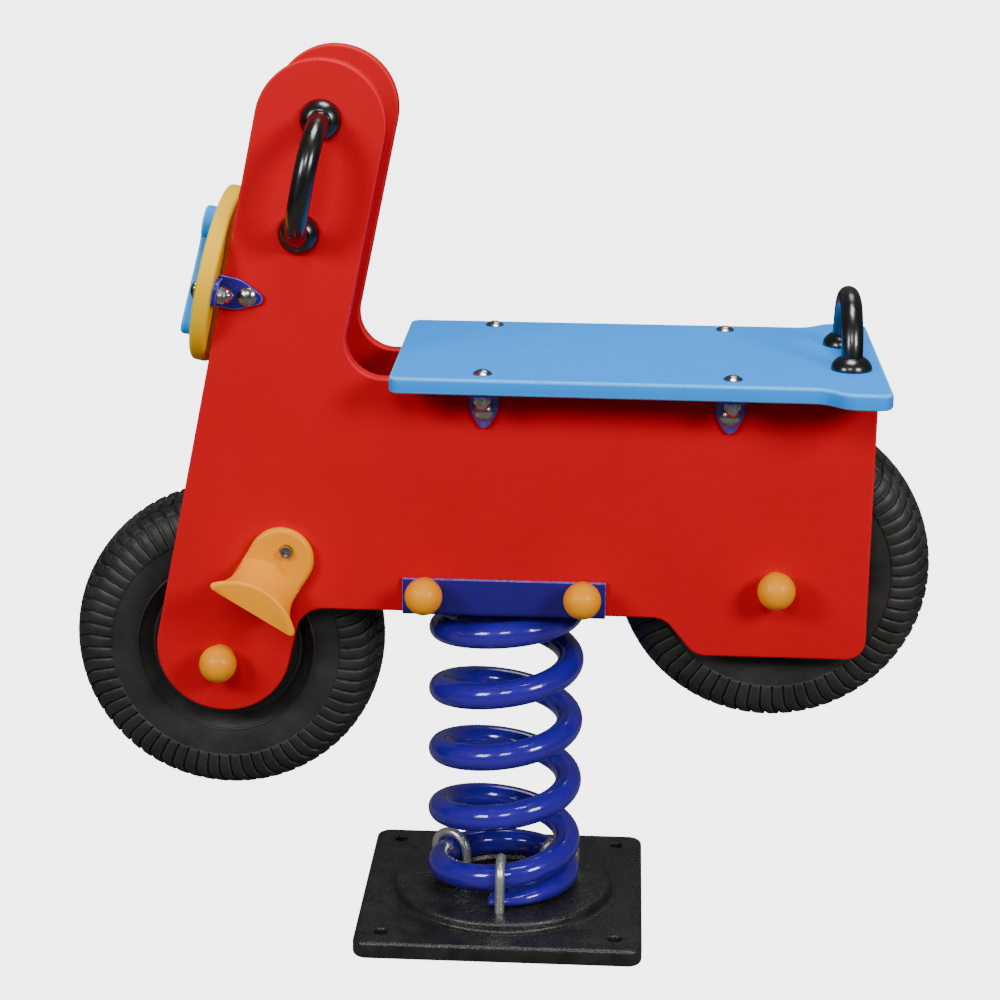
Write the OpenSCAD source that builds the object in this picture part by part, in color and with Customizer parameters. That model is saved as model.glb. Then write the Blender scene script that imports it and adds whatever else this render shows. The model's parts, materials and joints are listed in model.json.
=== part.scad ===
// Spring rider shaped like a motor scooter: a child's rocking ride on one coil spring.
// Millimetres. +Z is up, +Y points to the rider's right, the nose points to -X.
// The origin is the centre of the base plate's underside.

/* [Base plate] */
// Length and width of the square cast base
base_w = 236; // [230:1:244]
// Thickness of the base at its rim
base_t = 15; // [14.5:0.1:15.5]
// Height of the raised round boss above the rim
boss_h = 8; // [7.5:0.1:8.5]
// Distance between neighbouring ground bolts
ground_bolt_spacing = 191; // [186:1:196]

/* [Spring] */
// Diameter of the spring rod
rod_d = 22; // [21.6:0.1:22]
// Mean diameter of the coil
coil_d = 107; // [106:0.5:108]
// Number of turns, counting the closed ends
turns = 5.9; // [5.89:0.01:5.91]

/* [Side panels] */
// Thickness of each panel
panel_t = 15; // [14.5:0.5:15.5]
// Clear distance between the two panels
panel_gap = 92; // [91:0.5:94]
// Backward lean of the neck
neck_lean = 11.3; // [11:0.1:11.6]
// Half the width of the neck
neck_r = 51; // [49:0.5:52]

/* [Seat] */
// Height of the seat's underside above the ground
seat_z = 471; // [468:1:474]
// Thickness of the seat board
seat_t = 13; // [12:0.5:14]
// Width of the seat board along its middle
seat_w = 226; // [220:1:232]
// Width of the flared rear of the seat board
seat_flare_w = 262; // [256:1:268]

/* [Wheels] */
// Outer diameter of each tyre
tyre_d = 255; // [250:1:256]
// Width of each tyre
tyre_w = 80; // [76:1:80]

/* [Handles] */
// Distance between the two feet of a grab handle
handle_pitch = 90; // [86:1:92]
// Distance from the foot's face to the centre of the grip
handle_reach = 47.5; // [45:0.5:52]
// Diameter of the grip
grip_d = 17; // [16:0.5:18]

/* [Hidden] */
$fn = 64;

// Colours
panel_red = "#c81a1c";
board_blue = "#6cb6f5";
board_yellow = "#ffd84a";
knob_orange = "#fba92f";
steel_blue = "#2c2a8c";
iron_black = "#262626";
grip_black = "#141416";
tyre_black = "#1d1d1d";
zinc = "#c9c9cc";

// A gap that keeps neighbouring curved faces from touching
gap = 0.3;

// Fasteners: radii of the threaded rods and the sizes of their heads and nuts
m6_r = 3;
m6_head_r = 5;
m8_r = 4;
m10_r = 5;
hole_clearance = 0.4;
m8_nut_h = 6.5;
m8_nut_flats = 13;
m10_nut_h = 8;
m10_nut_flats = 16;
washer_t = 1.5;
washer_r = 8.5;
dome_r = 7.5;
dome_h = 4;

// Base and its U-bolts
base_corner_r = 12;
boss_foot_r = 95;
boss_top_r = 90;
boss_top_z = base_t + boss_h;
recess_r = 50;
recess_depth = 4;
ground_hole_r = 5.5;
u_bolt_r = 4;
u_arch_r = 15.6;
u_bolt_angles = [-90, 30, 150];
u_leg_end_z = 2;
nut_pocket_r = 11;
nut_pocket_depth = 12;

// Spring: closed, tapered ends lie flat on the boss and under the saddle
rod_r = rod_d / 2;
coil_r = coil_d / 2;
coil_start_angle = -100;
tip_thickness = 9.5;
tip_taper_turns = 0.32;
flat_turns = 0.45;
blend_turns = 0.65;
saddle_z = 278;
bottom_z = boss_top_z + rod_r;
top_z = saddle_z - rod_r;
pitch = (top_z - bottom_z) / (turns - 2 * flat_turns - blend_turns);
rings_per_turn = 36;
rod_sides = 16;
// Where the coil is divided, in turns from its lower tip
spring_cuts = [0, 1.05, 2.5, 4.0, 4.85, turns];

// Saddle channel that joins the spring to the two panels
panel_in = panel_gap / 2;
panel_out = panel_in + panel_t;
plate_t = 4;
saddle_half_l = 81.5;
saddle_h = 31;
saddle_out = panel_out + plate_t;
saddle_bolt_x = 63;
saddle_bolt_z = 300;
spacer_r = 8;
spacer_bore_r = 5.25;
claw_angles = [34, 72, 110];
claw_bolt_r = 31;
claw_w = 12;
claw_drop = 17.5;

// Side panel outline, in X and Z
panel_bottom_z = 280;
panel_step_z = 249;
panel_rear_x = 290;
neck_top = [-146, 668.5];
front_foot = [-227.5, 245];
front_foot_r = 54;
lean_up = [sin(neck_lean), cos(neck_lean)];
lean_back = [cos(neck_lean), -sin(neck_lean)];
neck_fillet_r = 30;
arc_steps = 14;
// The corner radii of a round end stay a little under its half width, so its two arcs don't meet
end_ease = 0.5;

// Seat
seat_top = seat_z + seat_t;
seat_front_x = -89;
seat_rear_x = 295;
seat_flare_x = 243;
seat_flare_run = 18;
seat_bolt_x = [-17.5, 175];
seat_bolt_y = 91.5;
bracket_half_w = 11.8;
bracket_reach = 104;
bracket_bolt_z = 448;

// Headlight board, placed in a frame that leans with the front edge of the panels
headlight_drop = 142;
headlight_half_w = 86;
headlight_half_h = 71;
headlight_t = 13.5;
headlight_back = -plate_t;
emblem_t = 13;
emblem_head_z = 38.5;
emblem_screw_z = [emblem_head_z, -20];
emblem_screw_r = 2;
headlight_bolt_y = 77;
tongue_bolt = 21.5;
tongue_l = 37;
tongue_half_w = 12.5;

// Grab handles
foot_r = 16.3;
foot_h = 10;
elbow_r = 40;
handle_bolt_l = 32;
panel_handle_top = 4.5;
seat_handle_x = 269;
counterbore_r = 8;
counterbore_depth = 5.5;

// Footrests
footrest_at = [-179, 322];
footrest_turn = 31;
footrest_r = 27;
footrest_drop = 35;
footrest_plate_t = 9;
footrest_reach = 50;
footrest_bolt_up = 10;
footrest_recess_r = 6;
tee_nut_r = 9;
tee_nut_barrel_r = 4.5;
tee_nut_barrel_l = 9;

// Wheels and axles
front_axle = [-229, 237];
rear_axle = [216, 311];
axle_thread_out = 13;
ball_r = 15;
ball_out = 18;
cap_collar_r = 10.7;
cap_bore_r = 9.6;
tyre_r = tyre_d / 2;
tyre_half_w = tyre_w / 2;
tyre_oval_r = 91;
tyre_squareness = 2.5;
tread_t = 7.5;
wall_t = 6;
tyre_open_angle = 50;
bead_r = 51.5;
bead_half_w = 27;
bead_t = 7;
rim_sheet = 2.5;
rim_seat_r = bead_r - 0.3;
rim_flange_r = 57.5;
rim_flange_out = bead_half_w + 1;
rim_seam = 0.1;
rim_drum_r = 43;
hub_r = 16;
hub_bore_r = 11;
hub_half_l = 42;
hub_flange_r = 34;
hub_flange_t = 3;
bush_flange_t = 2;
bush_flange_r = 14;
bush_l = 20;
bush_bore_r = spacer_r + 0.06;
rivet_r = 3;
rivet_circle_r = 28;
valve_r = 4;
valve_out = 14;
valve_end_r = 36;

// ---------- Outlines ----------

function unit(v) = v / norm(v);
function spin(v, a) = [v[0] * cos(a) - v[1] * sin(a), v[0] * sin(a) + v[1] * cos(a)];
function xy(corner) = [corner[0], corner[1]];

// The points of an outline whose corners, given as [x, y, radius], are rounded
function rounded(corners) =
    let (n = len(corners))
    [for (i = [0 : n - 1])
        let (
            here = xy(corners[i]),
            to_last = unit(xy(corners[(i + n - 1) % n]) - here),
            to_next = unit(xy(corners[(i + 1) % n]) - here),
            r = corners[i][2],
            half = acos(to_last * to_next) / 2,
            centre = here + unit(to_last + to_next) * r / sin(half),
            first = here + to_last * r / tan(half) - centre,
            way = sign(to_last[1] * to_next[0] - to_last[0] * to_next[1])
        )
        for (k = [0 : arc_steps]) centre + spin(first, way * (180 - 2 * half) * k / arc_steps)];

function oval_point(a, half_w, half_h, squareness) =
    [sign(cos(a)) * pow(abs(cos(a)), 2 / squareness) * half_w,
     sign(sin(a)) * pow(abs(sin(a)), 2 / squareness) * half_h];

// A slice cut off a circle by a straight chord, with its chord on the X axis
module segment_outline(half_chord, height) {
    r = (half_chord * half_chord + height * height) / (2 * height);
    intersection() {
        translate([0, height - r]) circle(r);
        translate([-half_chord, 0]) square([2 * half_chord, height]);
    }
}

// ---------- Placing ----------

// Extrudes an outline drawn in X and Z, from y = from to y = to
module plate_xz(from, to) {
    translate([0, to, 0]) rotate([90, 0, 0]) linear_extrude(to - from) children();
}

// Extrudes an outline drawn in Y and Z, from x = from to x = to
module plate_yz(from, to) {
    translate([from, 0, 0]) rotate([90, 0, 90]) linear_extrude(to - from) children();
}

module at_xz(p) {
    translate([p[0], 0, p[1]]) children();
}

// Turns a piece drawn along +Z so that it points along +Y
module toward_y() {
    rotate([-90, 0, 0]) children();
}

module both_sides() {
    children();
    mirror([0, 1, 0]) children();
}

module around(angles) {
    for (a = angles) rotate([0, 0, a]) children();
}

// The leaning frame of the headlight: its origin lies on the panels' front edge, X points back, Z up the edge
module on_front_edge() {
    at_xz(neck_top - neck_r * lean_back - headlight_drop * lean_up) rotate([0, neck_lean, 0]) children();
}

// ---------- Fasteners ----------

module rod(r, from, to) {
    translate([0, 0, from]) cylinder(r = r, h = to - from);
}

module nut(bore_r, flats, h) {
    difference() {
        cylinder(r = flats / sqrt(3), h = h, $fn = 6);
        translate([0, 0, -1]) cylinder(r = bore_r, h = h + 2);
    }
}

module acorn_nut(bore_r, flats, h) {
    difference() {
        union() {
            cylinder(r = flats / sqrt(3), h = h, $fn = 6);
            intersection() {
                translate([0, 0, h]) sphere(r = flats / 2 - gap);
                rod(flats, h - 1, h + flats);
            }
        }
        translate([0, 0, -1]) cylinder(r = bore_r, h = h + 4);
    }
}

// A shallow dome head, its flat face at z = 0
module dome_head(r, h) {
    ball = (r * r + h * h) / (2 * h);
    intersection() {
        translate([0, 0, h - ball]) sphere(r = ball);
        cylinder(r = r + 1, h = h);
    }
}

module m10_nut() {
    nut(m10_r + 0.05, m10_nut_flats, m10_nut_h);
}

// A hollow ball cap that covers a nut, standing on z = 0
module ball_cap() {
    difference() {
        union() {
            translate([0, 0, ball_out]) sphere(r = ball_r);
            cylinder(r = cap_collar_r, h = ball_out - ball_r / 2);
        }
        translate([0, 0, -1]) cylinder(r = cap_bore_r, h = m10_nut_h + 2);
        translate([0, 0, -1]) cylinder(r = m10_r + 0.5, h = axle_thread_out + 2);
    }
}

module spacer() {
    toward_y() difference() {
        rod(spacer_r, -panel_in, panel_in);
        rod(spacer_bore_r, -panel_in - 1, panel_in + 1);
    }
}

// ---------- Base ----------

module base_plate() {
    half = base_w / 2;
    r = base_corner_r;
    color(iron_black) difference() {
        union() {
            linear_extrude(base_t)
                polygon(rounded([[half, half, r], [-half, half, r], [-half, -half, r], [half, -half, r]]));
            rotate_extrude() polygon([
                [0, 1], [boss_foot_r, 1], [boss_foot_r, base_t], [boss_top_r, boss_top_z], [0, boss_top_z]
            ]);
        }
        rod(recess_r, boss_top_z - recess_depth, boss_top_z + 1);
        for (sx = [-1, 1], sy = [-1, 1])
            translate([sx, sy, 0] * ground_bolt_spacing / 2) rod(ground_hole_r, -1, base_t + 1);
        around(u_bolt_angles) for (x = u_leg_x()) translate([x, 0, 0]) {
            rod(u_bolt_r + hole_clearance, -1, boss_top_z + 1);
            rod(nut_pocket_r, -1, nut_pocket_depth);
        }
    }
}

// Distances of a U-bolt's two legs from the coil's axis
function u_leg_x() = [coil_r - u_arch_r, coil_r + u_arch_r];

// Turns of rod passed by the time the coil first reaches an angle
function turn_at(a) = ((a - coil_start_angle + 360) % 360) / 360;

// Height of the topmost rod that the U-bolt at an angle holds down: the near one holds two
function held_top(a) = rod_z(turn_at(a) + (a == u_bolt_angles[0] ? 1 : 0)) + rod_r;

module base_u_bolts() {
    color(zinc) for (a = u_bolt_angles) rotate([0, 0, a]) {
        arch_z = held_top(a) + 2 * gap + u_bolt_r - u_arch_r;
        translate([coil_r, 0, arch_z]) rotate([90, 0, 0])
            rotate_extrude(angle = 180) translate([u_arch_r, 0]) circle(u_bolt_r);
        for (x = u_leg_x()) translate([x, 0, 0]) rod(u_bolt_r, u_leg_end_z, arch_z);
    }
}

module base_u_bolt_washers() {
    color(zinc) around(u_bolt_angles) for (x = u_leg_x()) translate([x, 0, nut_pocket_depth - washer_t])
        difference() {
            cylinder(r = washer_r, h = washer_t);
            rod(u_bolt_r + 0.2, -1, washer_t + 1);
        }
}

module base_u_bolt_nuts() {
    color(zinc) around(u_bolt_angles) for (x = u_leg_x())
        translate([x, 0, nut_pocket_depth - washer_t - m8_nut_h]) nut(u_bolt_r + 0.05, m8_nut_flats, m8_nut_h);
}

// ---------- Spring ----------

// Rise of the coil above its flat end, in pitches, after a number of turns
function ramp(s) =
    let (u = s - flat_turns)
    u <= 0 ? 0 : u < blend_turns ? u * u / (2 * blend_turns) : u - blend_turns / 2;

function thickness(s) = min(rod_d, tip_thickness + (rod_d - tip_thickness) * min(s, turns - s) / tip_taper_turns);

// Height of the rod's centre after s turns: the tapered tips stay flat on their seats
function rod_z(s) =
    s < turns / 2
        ? bottom_z + pitch * ramp(s) - (rod_d - thickness(s)) / 2
        : top_z - pitch * ramp(turns - s) + (rod_d - thickness(s)) / 2;

function ring(s) =
    let (a = coil_start_angle + 360 * s, tall = thickness(s) / 2)
    [for (k = [0 : rod_sides - 1])
        let (b = 360 * k / rod_sides, r = coil_r + rod_r * cos(b))
        [r * cos(a), r * sin(a), rod_z(s) + tall * sin(b)]];

// The length of rod between two numbers of turns, as one closed solid
module coil(from, to) {
    count = ceil((to - from) * rings_per_turn);
    points = [for (i = [0 : count]) each ring(from + (to - from) * i / count)];
    last = count * rod_sides;
    walls = [for (i = [0 : count - 1], k = [0 : rod_sides - 1])
        let (a = i * rod_sides + k, b = i * rod_sides + (k + 1) % rod_sides)
        each [[a, a + rod_sides, b + rod_sides], [a, b + rod_sides, b]]];
    ends = [
        [for (k = [0 : rod_sides - 1]) k],
        [for (k = [rod_sides - 1 : -1 : 0]) last + k]
    ];
    color(steel_blue) polyhedron(points, concat(walls, ends));
}

module spring_bottom_turn() { coil(spring_cuts[0], spring_cuts[1]); }
module spring_lower_turns() { coil(spring_cuts[1], spring_cuts[2]); }
module spring_middle_turns() { coil(spring_cuts[2], spring_cuts[3]); }
module spring_upper_turns() { coil(spring_cuts[3], spring_cuts[4]); }
module spring_top_turn() { coil(spring_cuts[4], spring_cuts[5]); }

// ---------- Saddle ----------

module saddle_channel() {
    low = saddle_z;
    high = saddle_z + saddle_h;
    bend_r = 5;
    inner_bend_r = 0.05;
    color(steel_blue) difference() {
        rotate([90, 0, 90]) translate([0, 0, -saddle_half_l]) linear_extrude(2 * saddle_half_l) polygon(rounded([
            [-saddle_out, low, bend_r], [saddle_out, low, bend_r], [saddle_out, high, 0.5], [panel_out, high, 0.5],
            [panel_out, low + plate_t, inner_bend_r], [-panel_out, low + plate_t, inner_bend_r],
            [-panel_out, high, 0.5], [-saddle_out, high, 0.5]
        ]));
        for (x = [-1, 1] * saddle_bolt_x) at_xz([x, saddle_bolt_z]) toward_y()
            rod(m10_r + hole_clearance, -saddle_out - 1, saddle_out + 1);
        around(claw_angles) translate([claw_bolt_r, 0, 0]) rod(m8_r + hole_clearance, low - 1, low + plate_t + 1);
    }
}

// Turns of rod from the upper tip back to an angle
function turn_gap(a) = ((coil_start_angle + 360 * turns - a) % 360) / 360;

// The claw at an angle, in its own radial plane, as distance from the coil's axis and height:
// its sloping lip reaches under the rod from inside, and its underside rises towards the axis
module claw(a) {
    rod_height = rod_z(turns - turn_gap(a));
    heel = 22;
    heel_rise = 6;
    body = 40.4;
    nose = 50;
    lip = rod_height + coil_r - 17.5;
    nose_low = rod_height - 16.5;
    low = rod_height - claw_drop;
    difference() {
        rotate([90, 0, 0]) linear_extrude(claw_w, center = true) polygon([
            [heel, saddle_z], [body, saddle_z], [body, lip - body], [nose, lip - nose], [nose, nose_low],
            [body + 2, low], [heel, low + heel_rise]
        ]);
        translate([claw_bolt_r, 0, 0]) rod(m8_r + 0.05, low - 1, saddle_z + 1);
    }
}

module spring_claws() {
    color(steel_blue) for (a = claw_angles) rotate([0, 0, a]) claw(a);
}

// Each bolt goes down through the channel into its claw's thread
module spring_claw_bolts() {
    bolt_l = 24;
    head_h = 5.3;
    head_z = saddle_z + plate_t;
    color(zinc) around(claw_angles) translate([claw_bolt_r, 0, 0]) {
        rod(m8_r, head_z - bolt_l, head_z + 0.5);
        translate([0, 0, head_z]) cylinder(r = m8_nut_flats / sqrt(3), h = head_h, $fn = 6);
    }
}

module at_saddle_bolts() {
    for (x = [-1, 1] * saddle_bolt_x) at_xz([x, saddle_bolt_z]) children();
}

module saddle_through_bolts() {
    color(zinc) at_saddle_bolts() toward_y() rod(m10_r, -saddle_out - axle_thread_out, saddle_out + axle_thread_out);
}

module saddle_spacers() {
    color(zinc) at_saddle_bolts() spacer();
}

module saddle_nuts() {
    color(zinc) at_saddle_bolts() both_sides() translate([0, saddle_out, 0]) toward_y() m10_nut();
}

module saddle_ball_caps() {
    color(knob_orange) at_saddle_bolts() both_sides() translate([0, saddle_out, 0]) toward_y() ball_cap();
}

// ---------- Side panels ----------

panel_corners = let (
    top = neck_top + neck_r * lean_up,
    low = front_foot - front_foot_r * lean_up,
    neck_back = neck_top + neck_r * lean_back,
    neck_root = neck_back + (seat_z - neck_back[1]) / lean_up[1] * lean_up
) [
    concat(top - neck_r * lean_back, neck_r - end_ease),
    concat(top + neck_r * lean_back, neck_r - end_ease),
    concat(neck_root, neck_fillet_r),
    [panel_rear_x, seat_z, 4],
    [panel_rear_x, panel_step_z, 16],
    [154, panel_step_z, 20],
    [128, panel_bottom_z, 20],
    [saddle_half_l + 1, panel_bottom_z, 0.5],
    [saddle_half_l + 1, saddle_z + plate_t, 0.5],
    [-saddle_half_l - 1, saddle_z + plate_t, 0.5],
    [-saddle_half_l - 1, panel_bottom_z, 0.5],
    [-164, panel_bottom_z, 24],
    concat(low + front_foot_r * lean_back, front_foot_r - end_ease),
    concat(low - front_foot_r * lean_back, front_foot_r - end_ease)
];

// Places of a panel grab handle's two feet
function handle_feet() = [for (d = [0, handle_pitch]) neck_top + (panel_handle_top - d) * lean_up];

function footrest_bolt() = footrest_at + footrest_bolt_up * [sin(footrest_turn), cos(footrest_turn)];

function tongue_bolt_at() =
    neck_top + (tongue_bolt - neck_r) * lean_back - headlight_drop * lean_up;

module panel_hole(p, r) {
    at_xz(p) toward_y() rod(r, panel_in - 1, panel_out + 1);
}

// The panel on the +Y side
module side_panel() {
    color(panel_red) difference() {
        plate_xz(panel_in, panel_out) polygon(rounded(panel_corners));
        panel_hole(front_axle, m10_r + hole_clearance);
        panel_hole(rear_axle, m10_r + hole_clearance);
        for (x = [-1, 1] * saddle_bolt_x) panel_hole([x, saddle_bolt_z], m10_r + hole_clearance);
        for (x = seat_bolt_x) panel_hole([x, bracket_bolt_z], m8_r + hole_clearance);
        for (p = handle_feet()) panel_hole(p, m8_r + hole_clearance);
        panel_hole(tongue_bolt_at(), m8_r + hole_clearance);
        panel_hole(footrest_bolt(), m6_r + hole_clearance);
        at_xz(footrest_bolt()) toward_y() {
            rod(tee_nut_barrel_r + 0.1, panel_in - 1, panel_in + tee_nut_barrel_l);
            rod(tee_nut_r + 0.2, panel_in - 1, panel_in + washer_t);
        }
    }
}

module left_side_panel() { mirror([0, 1, 0]) side_panel(); }
module right_side_panel() { side_panel(); }

// ---------- Seat ----------

module seat_board() {
    near = seat_w / 2;
    wide = seat_flare_w / 2;
    flare_end = seat_flare_x + seat_flare_run;
    corners = [[seat_front_x, near - 3, 9], [seat_flare_x, near, 20], [flare_end, wide, 20], [seat_rear_x, wide, 10]];
    outline = concat(corners, [for (i = [len(corners) - 1 : -1 : 0]) [corners[i][0], -corners[i][1], corners[i][2]]]);
    color(board_blue) difference() {
        translate([0, 0, seat_z]) linear_extrude(seat_t) polygon(rounded(outline));
        for (x = seat_bolt_x, y = [-1, 1] * seat_bolt_y) translate([x, y, 0])
            rod(m8_r + hole_clearance, seat_z - 1, seat_top + 1);
        for (y = [-1, 1] * handle_pitch / 2) translate([seat_handle_x, y, 0]) {
            rod(m8_r + hole_clearance, seat_z - 1, seat_top + 1);
            rod(counterbore_r, seat_z - 1, seat_z + counterbore_depth);
        }
    }
}

// One L-shaped seat bracket on the +Y side, centred on x = 0
module seat_bracket() {
    w = bracket_half_w;
    shoulder = bracket_bolt_z + 1;
    tip = bracket_bolt_z - 18;
    difference() {
        union() {
            plate_xz(panel_out, panel_out + plate_t)
                polygon(rounded([[-w, seat_z, 0.5], [w, seat_z, 0.5], [w, shoulder, 30], [0, tip, 5], [-w, shoulder, 30]]));
            translate([0, 0, seat_z - plate_t]) linear_extrude(plate_t) polygon(rounded([
                [-w, panel_out, 0.5], [w, panel_out, 0.5], [w, bracket_reach, w - end_ease],
                [-w, bracket_reach, w - end_ease]
            ]));
        }
        at_xz([0, bracket_bolt_z]) toward_y() rod(m8_r + hole_clearance, panel_out - 1, panel_out + plate_t + 1);
        translate([0, seat_bolt_y, 0]) rod(m8_r + hole_clearance, seat_z - plate_t - 1, seat_z + 1);
    }
}

module at_seat_brackets() {
    for (x = seat_bolt_x) translate([x, 0, 0]) both_sides() children();
}

module seat_brackets() {
    color(steel_blue) at_seat_brackets() seat_bracket();
}

module seat_bolts() {
    color(zinc) at_seat_brackets() translate([0, seat_bolt_y, 0]) {
        rod(m8_r, seat_z - plate_t - m8_nut_h, seat_top + 0.5);
        translate([0, 0, seat_top]) dome_head(dome_r, dome_h);
    }
}

module seat_acorn_nuts() {
    color(zinc) at_seat_brackets() translate([0, seat_bolt_y, seat_z - plate_t]) rotate([180, 0, 0])
        acorn_nut(m8_r + 0.05, m8_nut_flats, m8_nut_h);
}

module seat_bracket_bolts() {
    color(zinc) at_seat_brackets() at_xz([0, bracket_bolt_z]) toward_y() {
        rod(m8_r, panel_in - m8_nut_h - 1, panel_out + plate_t + 0.5);
        translate([0, 0, panel_out + plate_t]) dome_head(dome_r, dome_h);
    }
}

module seat_bracket_nuts() {
    color(zinc) at_seat_brackets() translate([0, panel_in - m8_nut_h, bracket_bolt_z]) toward_y()
        nut(m8_r + 0.05, m8_nut_flats, m8_nut_h);
}

// ---------- Headlight ----------

module headlight_board() {
    outline_step = 4;
    color(board_yellow) on_front_edge() difference() {
        plate_yz(headlight_back - headlight_t, headlight_back)
            polygon([for (a = [0 : outline_step : 359]) oval_point(a, headlight_half_w, headlight_half_h, 2)]);
        both_sides() translate([0, headlight_bolt_y, 0]) rotate([0, 90, 0])
            rod(m8_r + hole_clearance, headlight_back - headlight_t - 1, headlight_back + 1);
        for (z = emblem_screw_z) translate([0, 0, z]) rotate([0, 90, 0])
            rod(emblem_screw_r + 0.2, headlight_back - headlight_t - 1, headlight_back + 1);
    }
}

// A round head over a bell-shaped body, cut from one board
module headlight_emblem() {
    head_r = 13.5;
    neck_half_w = 5;
    waist_half_w = 7;
    waist_z = 15;
    foot_half_w = 34;
    foot_z = -50;
    front = headlight_back - headlight_t;
    color(board_blue) on_front_edge() difference() {
        union() {
            plate_yz(front - emblem_t, front) translate([0, emblem_head_z]) circle(head_r);
            plate_yz(front - emblem_t, front) polygon(rounded([
                [neck_half_w, emblem_head_z, 0.5], [waist_half_w, waist_z, 14], [foot_half_w, foot_z, 9],
                [-foot_half_w, foot_z, 9], [-waist_half_w, waist_z, 14], [-neck_half_w, emblem_head_z, 0.5]
            ]));
        }
        for (z = emblem_screw_z) translate([0, 0, z]) rotate([0, 90, 0])
            rod(emblem_screw_r, front - 9, headlight_back);
    }
}

module emblem_screws() {
    color(zinc) on_front_edge() for (z = emblem_screw_z) translate([0, 0, z]) rotate([0, 90, 0]) {
        rod(emblem_screw_r, headlight_back - headlight_t - 8, headlight_back + 0.5);
        translate([0, 0, headlight_back]) dome_head(4.5, 2.5);
    }
}

// The bracket on the +Y side: a tongue on the panel and a leg behind the headlight
module headlight_bracket() {
    leg_end = headlight_half_w - 1;
    color(steel_blue) on_front_edge() difference() {
        union() {
            plate_xz(panel_out, panel_out + plate_t) polygon(rounded([
                [-plate_t, -tongue_half_w, 2], [14, -tongue_half_w, 22], [tongue_l + 3, 0, 5],
                [14, tongue_half_w, 22], [-plate_t, tongue_half_w, 2]
            ]));
            plate_yz(-plate_t, 0) polygon(rounded([
                [panel_out, -tongue_half_w + 2, 0.5], [leg_end, -tongue_half_w + 2, 8],
                [leg_end, tongue_half_w - 2, 8], [panel_out, tongue_half_w - 2, 0.5]
            ]));
        }
        translate([tongue_bolt, 0, 0]) toward_y() rod(m8_r + hole_clearance, panel_out - 1, panel_out + plate_t + 1);
        translate([0, headlight_bolt_y, 0]) rotate([0, 90, 0]) rod(m8_r + hole_clearance, -plate_t - 1, 1);
    }
}

module right_headlight_bracket() { headlight_bracket(); }
module left_headlight_bracket() { mirror([0, 1, 0]) headlight_bracket(); }

module headlight_bolts() {
    front = headlight_back - headlight_t;
    color(zinc) on_front_edge() both_sides() translate([0, headlight_bolt_y, 0]) rotate([0, 90, 0]) {
        rod(m8_r, front - 0.5, m8_nut_h);
        translate([0, 0, front]) rotate([180, 0, 0]) dome_head(dome_r, dome_h);
    }
}

module headlight_acorn_nuts() {
    color(zinc) on_front_edge() both_sides() translate([0, headlight_bolt_y, 0]) rotate([0, 90, 0])
        acorn_nut(m8_r + 0.05, m8_nut_flats, m8_nut_h);
}

module headlight_bracket_bolts() {
    color(zinc) on_front_edge() both_sides() translate([tongue_bolt, 0, 0]) toward_y() {
        rod(m8_r, panel_in - m8_nut_h - 1, panel_out + plate_t + 0.5);
        translate([0, 0, panel_out + plate_t]) dome_head(dome_r, dome_h);
    }
}

module headlight_bracket_nuts() {
    color(zinc) on_front_edge() both_sides() translate([tongue_bolt, panel_in - m8_nut_h, 0]) toward_y()
        nut(m8_r + 0.05, m8_nut_flats, m8_nut_h);
}

// ---------- Grab handles ----------

// A U-shaped grip standing on z = 0, with its feet along X, half a pitch each side
module grab_handle() {
    half = handle_pitch / 2;
    color(grip_black) difference() {
        union() {
            for (side = [0, 1]) mirror([side, 0, 0]) {
                translate([half, 0, 0]) {
                    rod(grip_d / 2, 1, handle_reach - elbow_r);
                    dome_head(foot_r, foot_h);
                }
                translate([half - elbow_r, 0, handle_reach - elbow_r]) rotate([90, 0, 0])
                    rotate_extrude(angle = 90) translate([elbow_r, 0]) circle(grip_d / 2);
            }
            translate([elbow_r - half, 0, handle_reach]) rotate([0, 90, 0])
                cylinder(r = grip_d / 2, h = 2 * (half - elbow_r));
        }
        for (x = [-1, 1] * half) translate([x, 0, 0]) rod(m8_r, -1, handle_bolt_l - panel_t + 1);
    }
}

// Lays a grab handle on the +Y panel, its feet up and down the neck
module on_neck() {
    middle = (handle_feet()[0] + handle_feet()[1]) / 2;
    translate([middle[0], panel_out, middle[1]]) rotate([0, neck_lean, 0]) rotate([0, -90, 0]) rotate([-90, 0, 0])
        children();
}

module right_grab_handle() { on_neck() grab_handle(); }
module left_grab_handle() { mirror([0, 1, 0]) on_neck() grab_handle(); }
module seat_grab_handle() { translate([seat_handle_x, 0, seat_top]) rotate([0, 0, 90]) grab_handle(); }

// A bolt that comes up through a board of thickness t into the foot above z = 0
module foot_bolt(t) {
    head_h = 5;
    rod(m8_r, -t, handle_bolt_l - panel_t);
    rod(dome_r, -t - head_h, -t);
}

module panel_handle_bolts() {
    color(zinc) both_sides() for (p = handle_feet()) translate([p[0], panel_out, p[1]]) toward_y()
        foot_bolt(panel_t);
}

module seat_handle_bolts() {
    color(zinc) for (y = [-1, 1] * handle_pitch / 2) translate([seat_handle_x, y, seat_top])
        foot_bolt(seat_t - counterbore_depth);
}

// ---------- Footrests ----------

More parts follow.
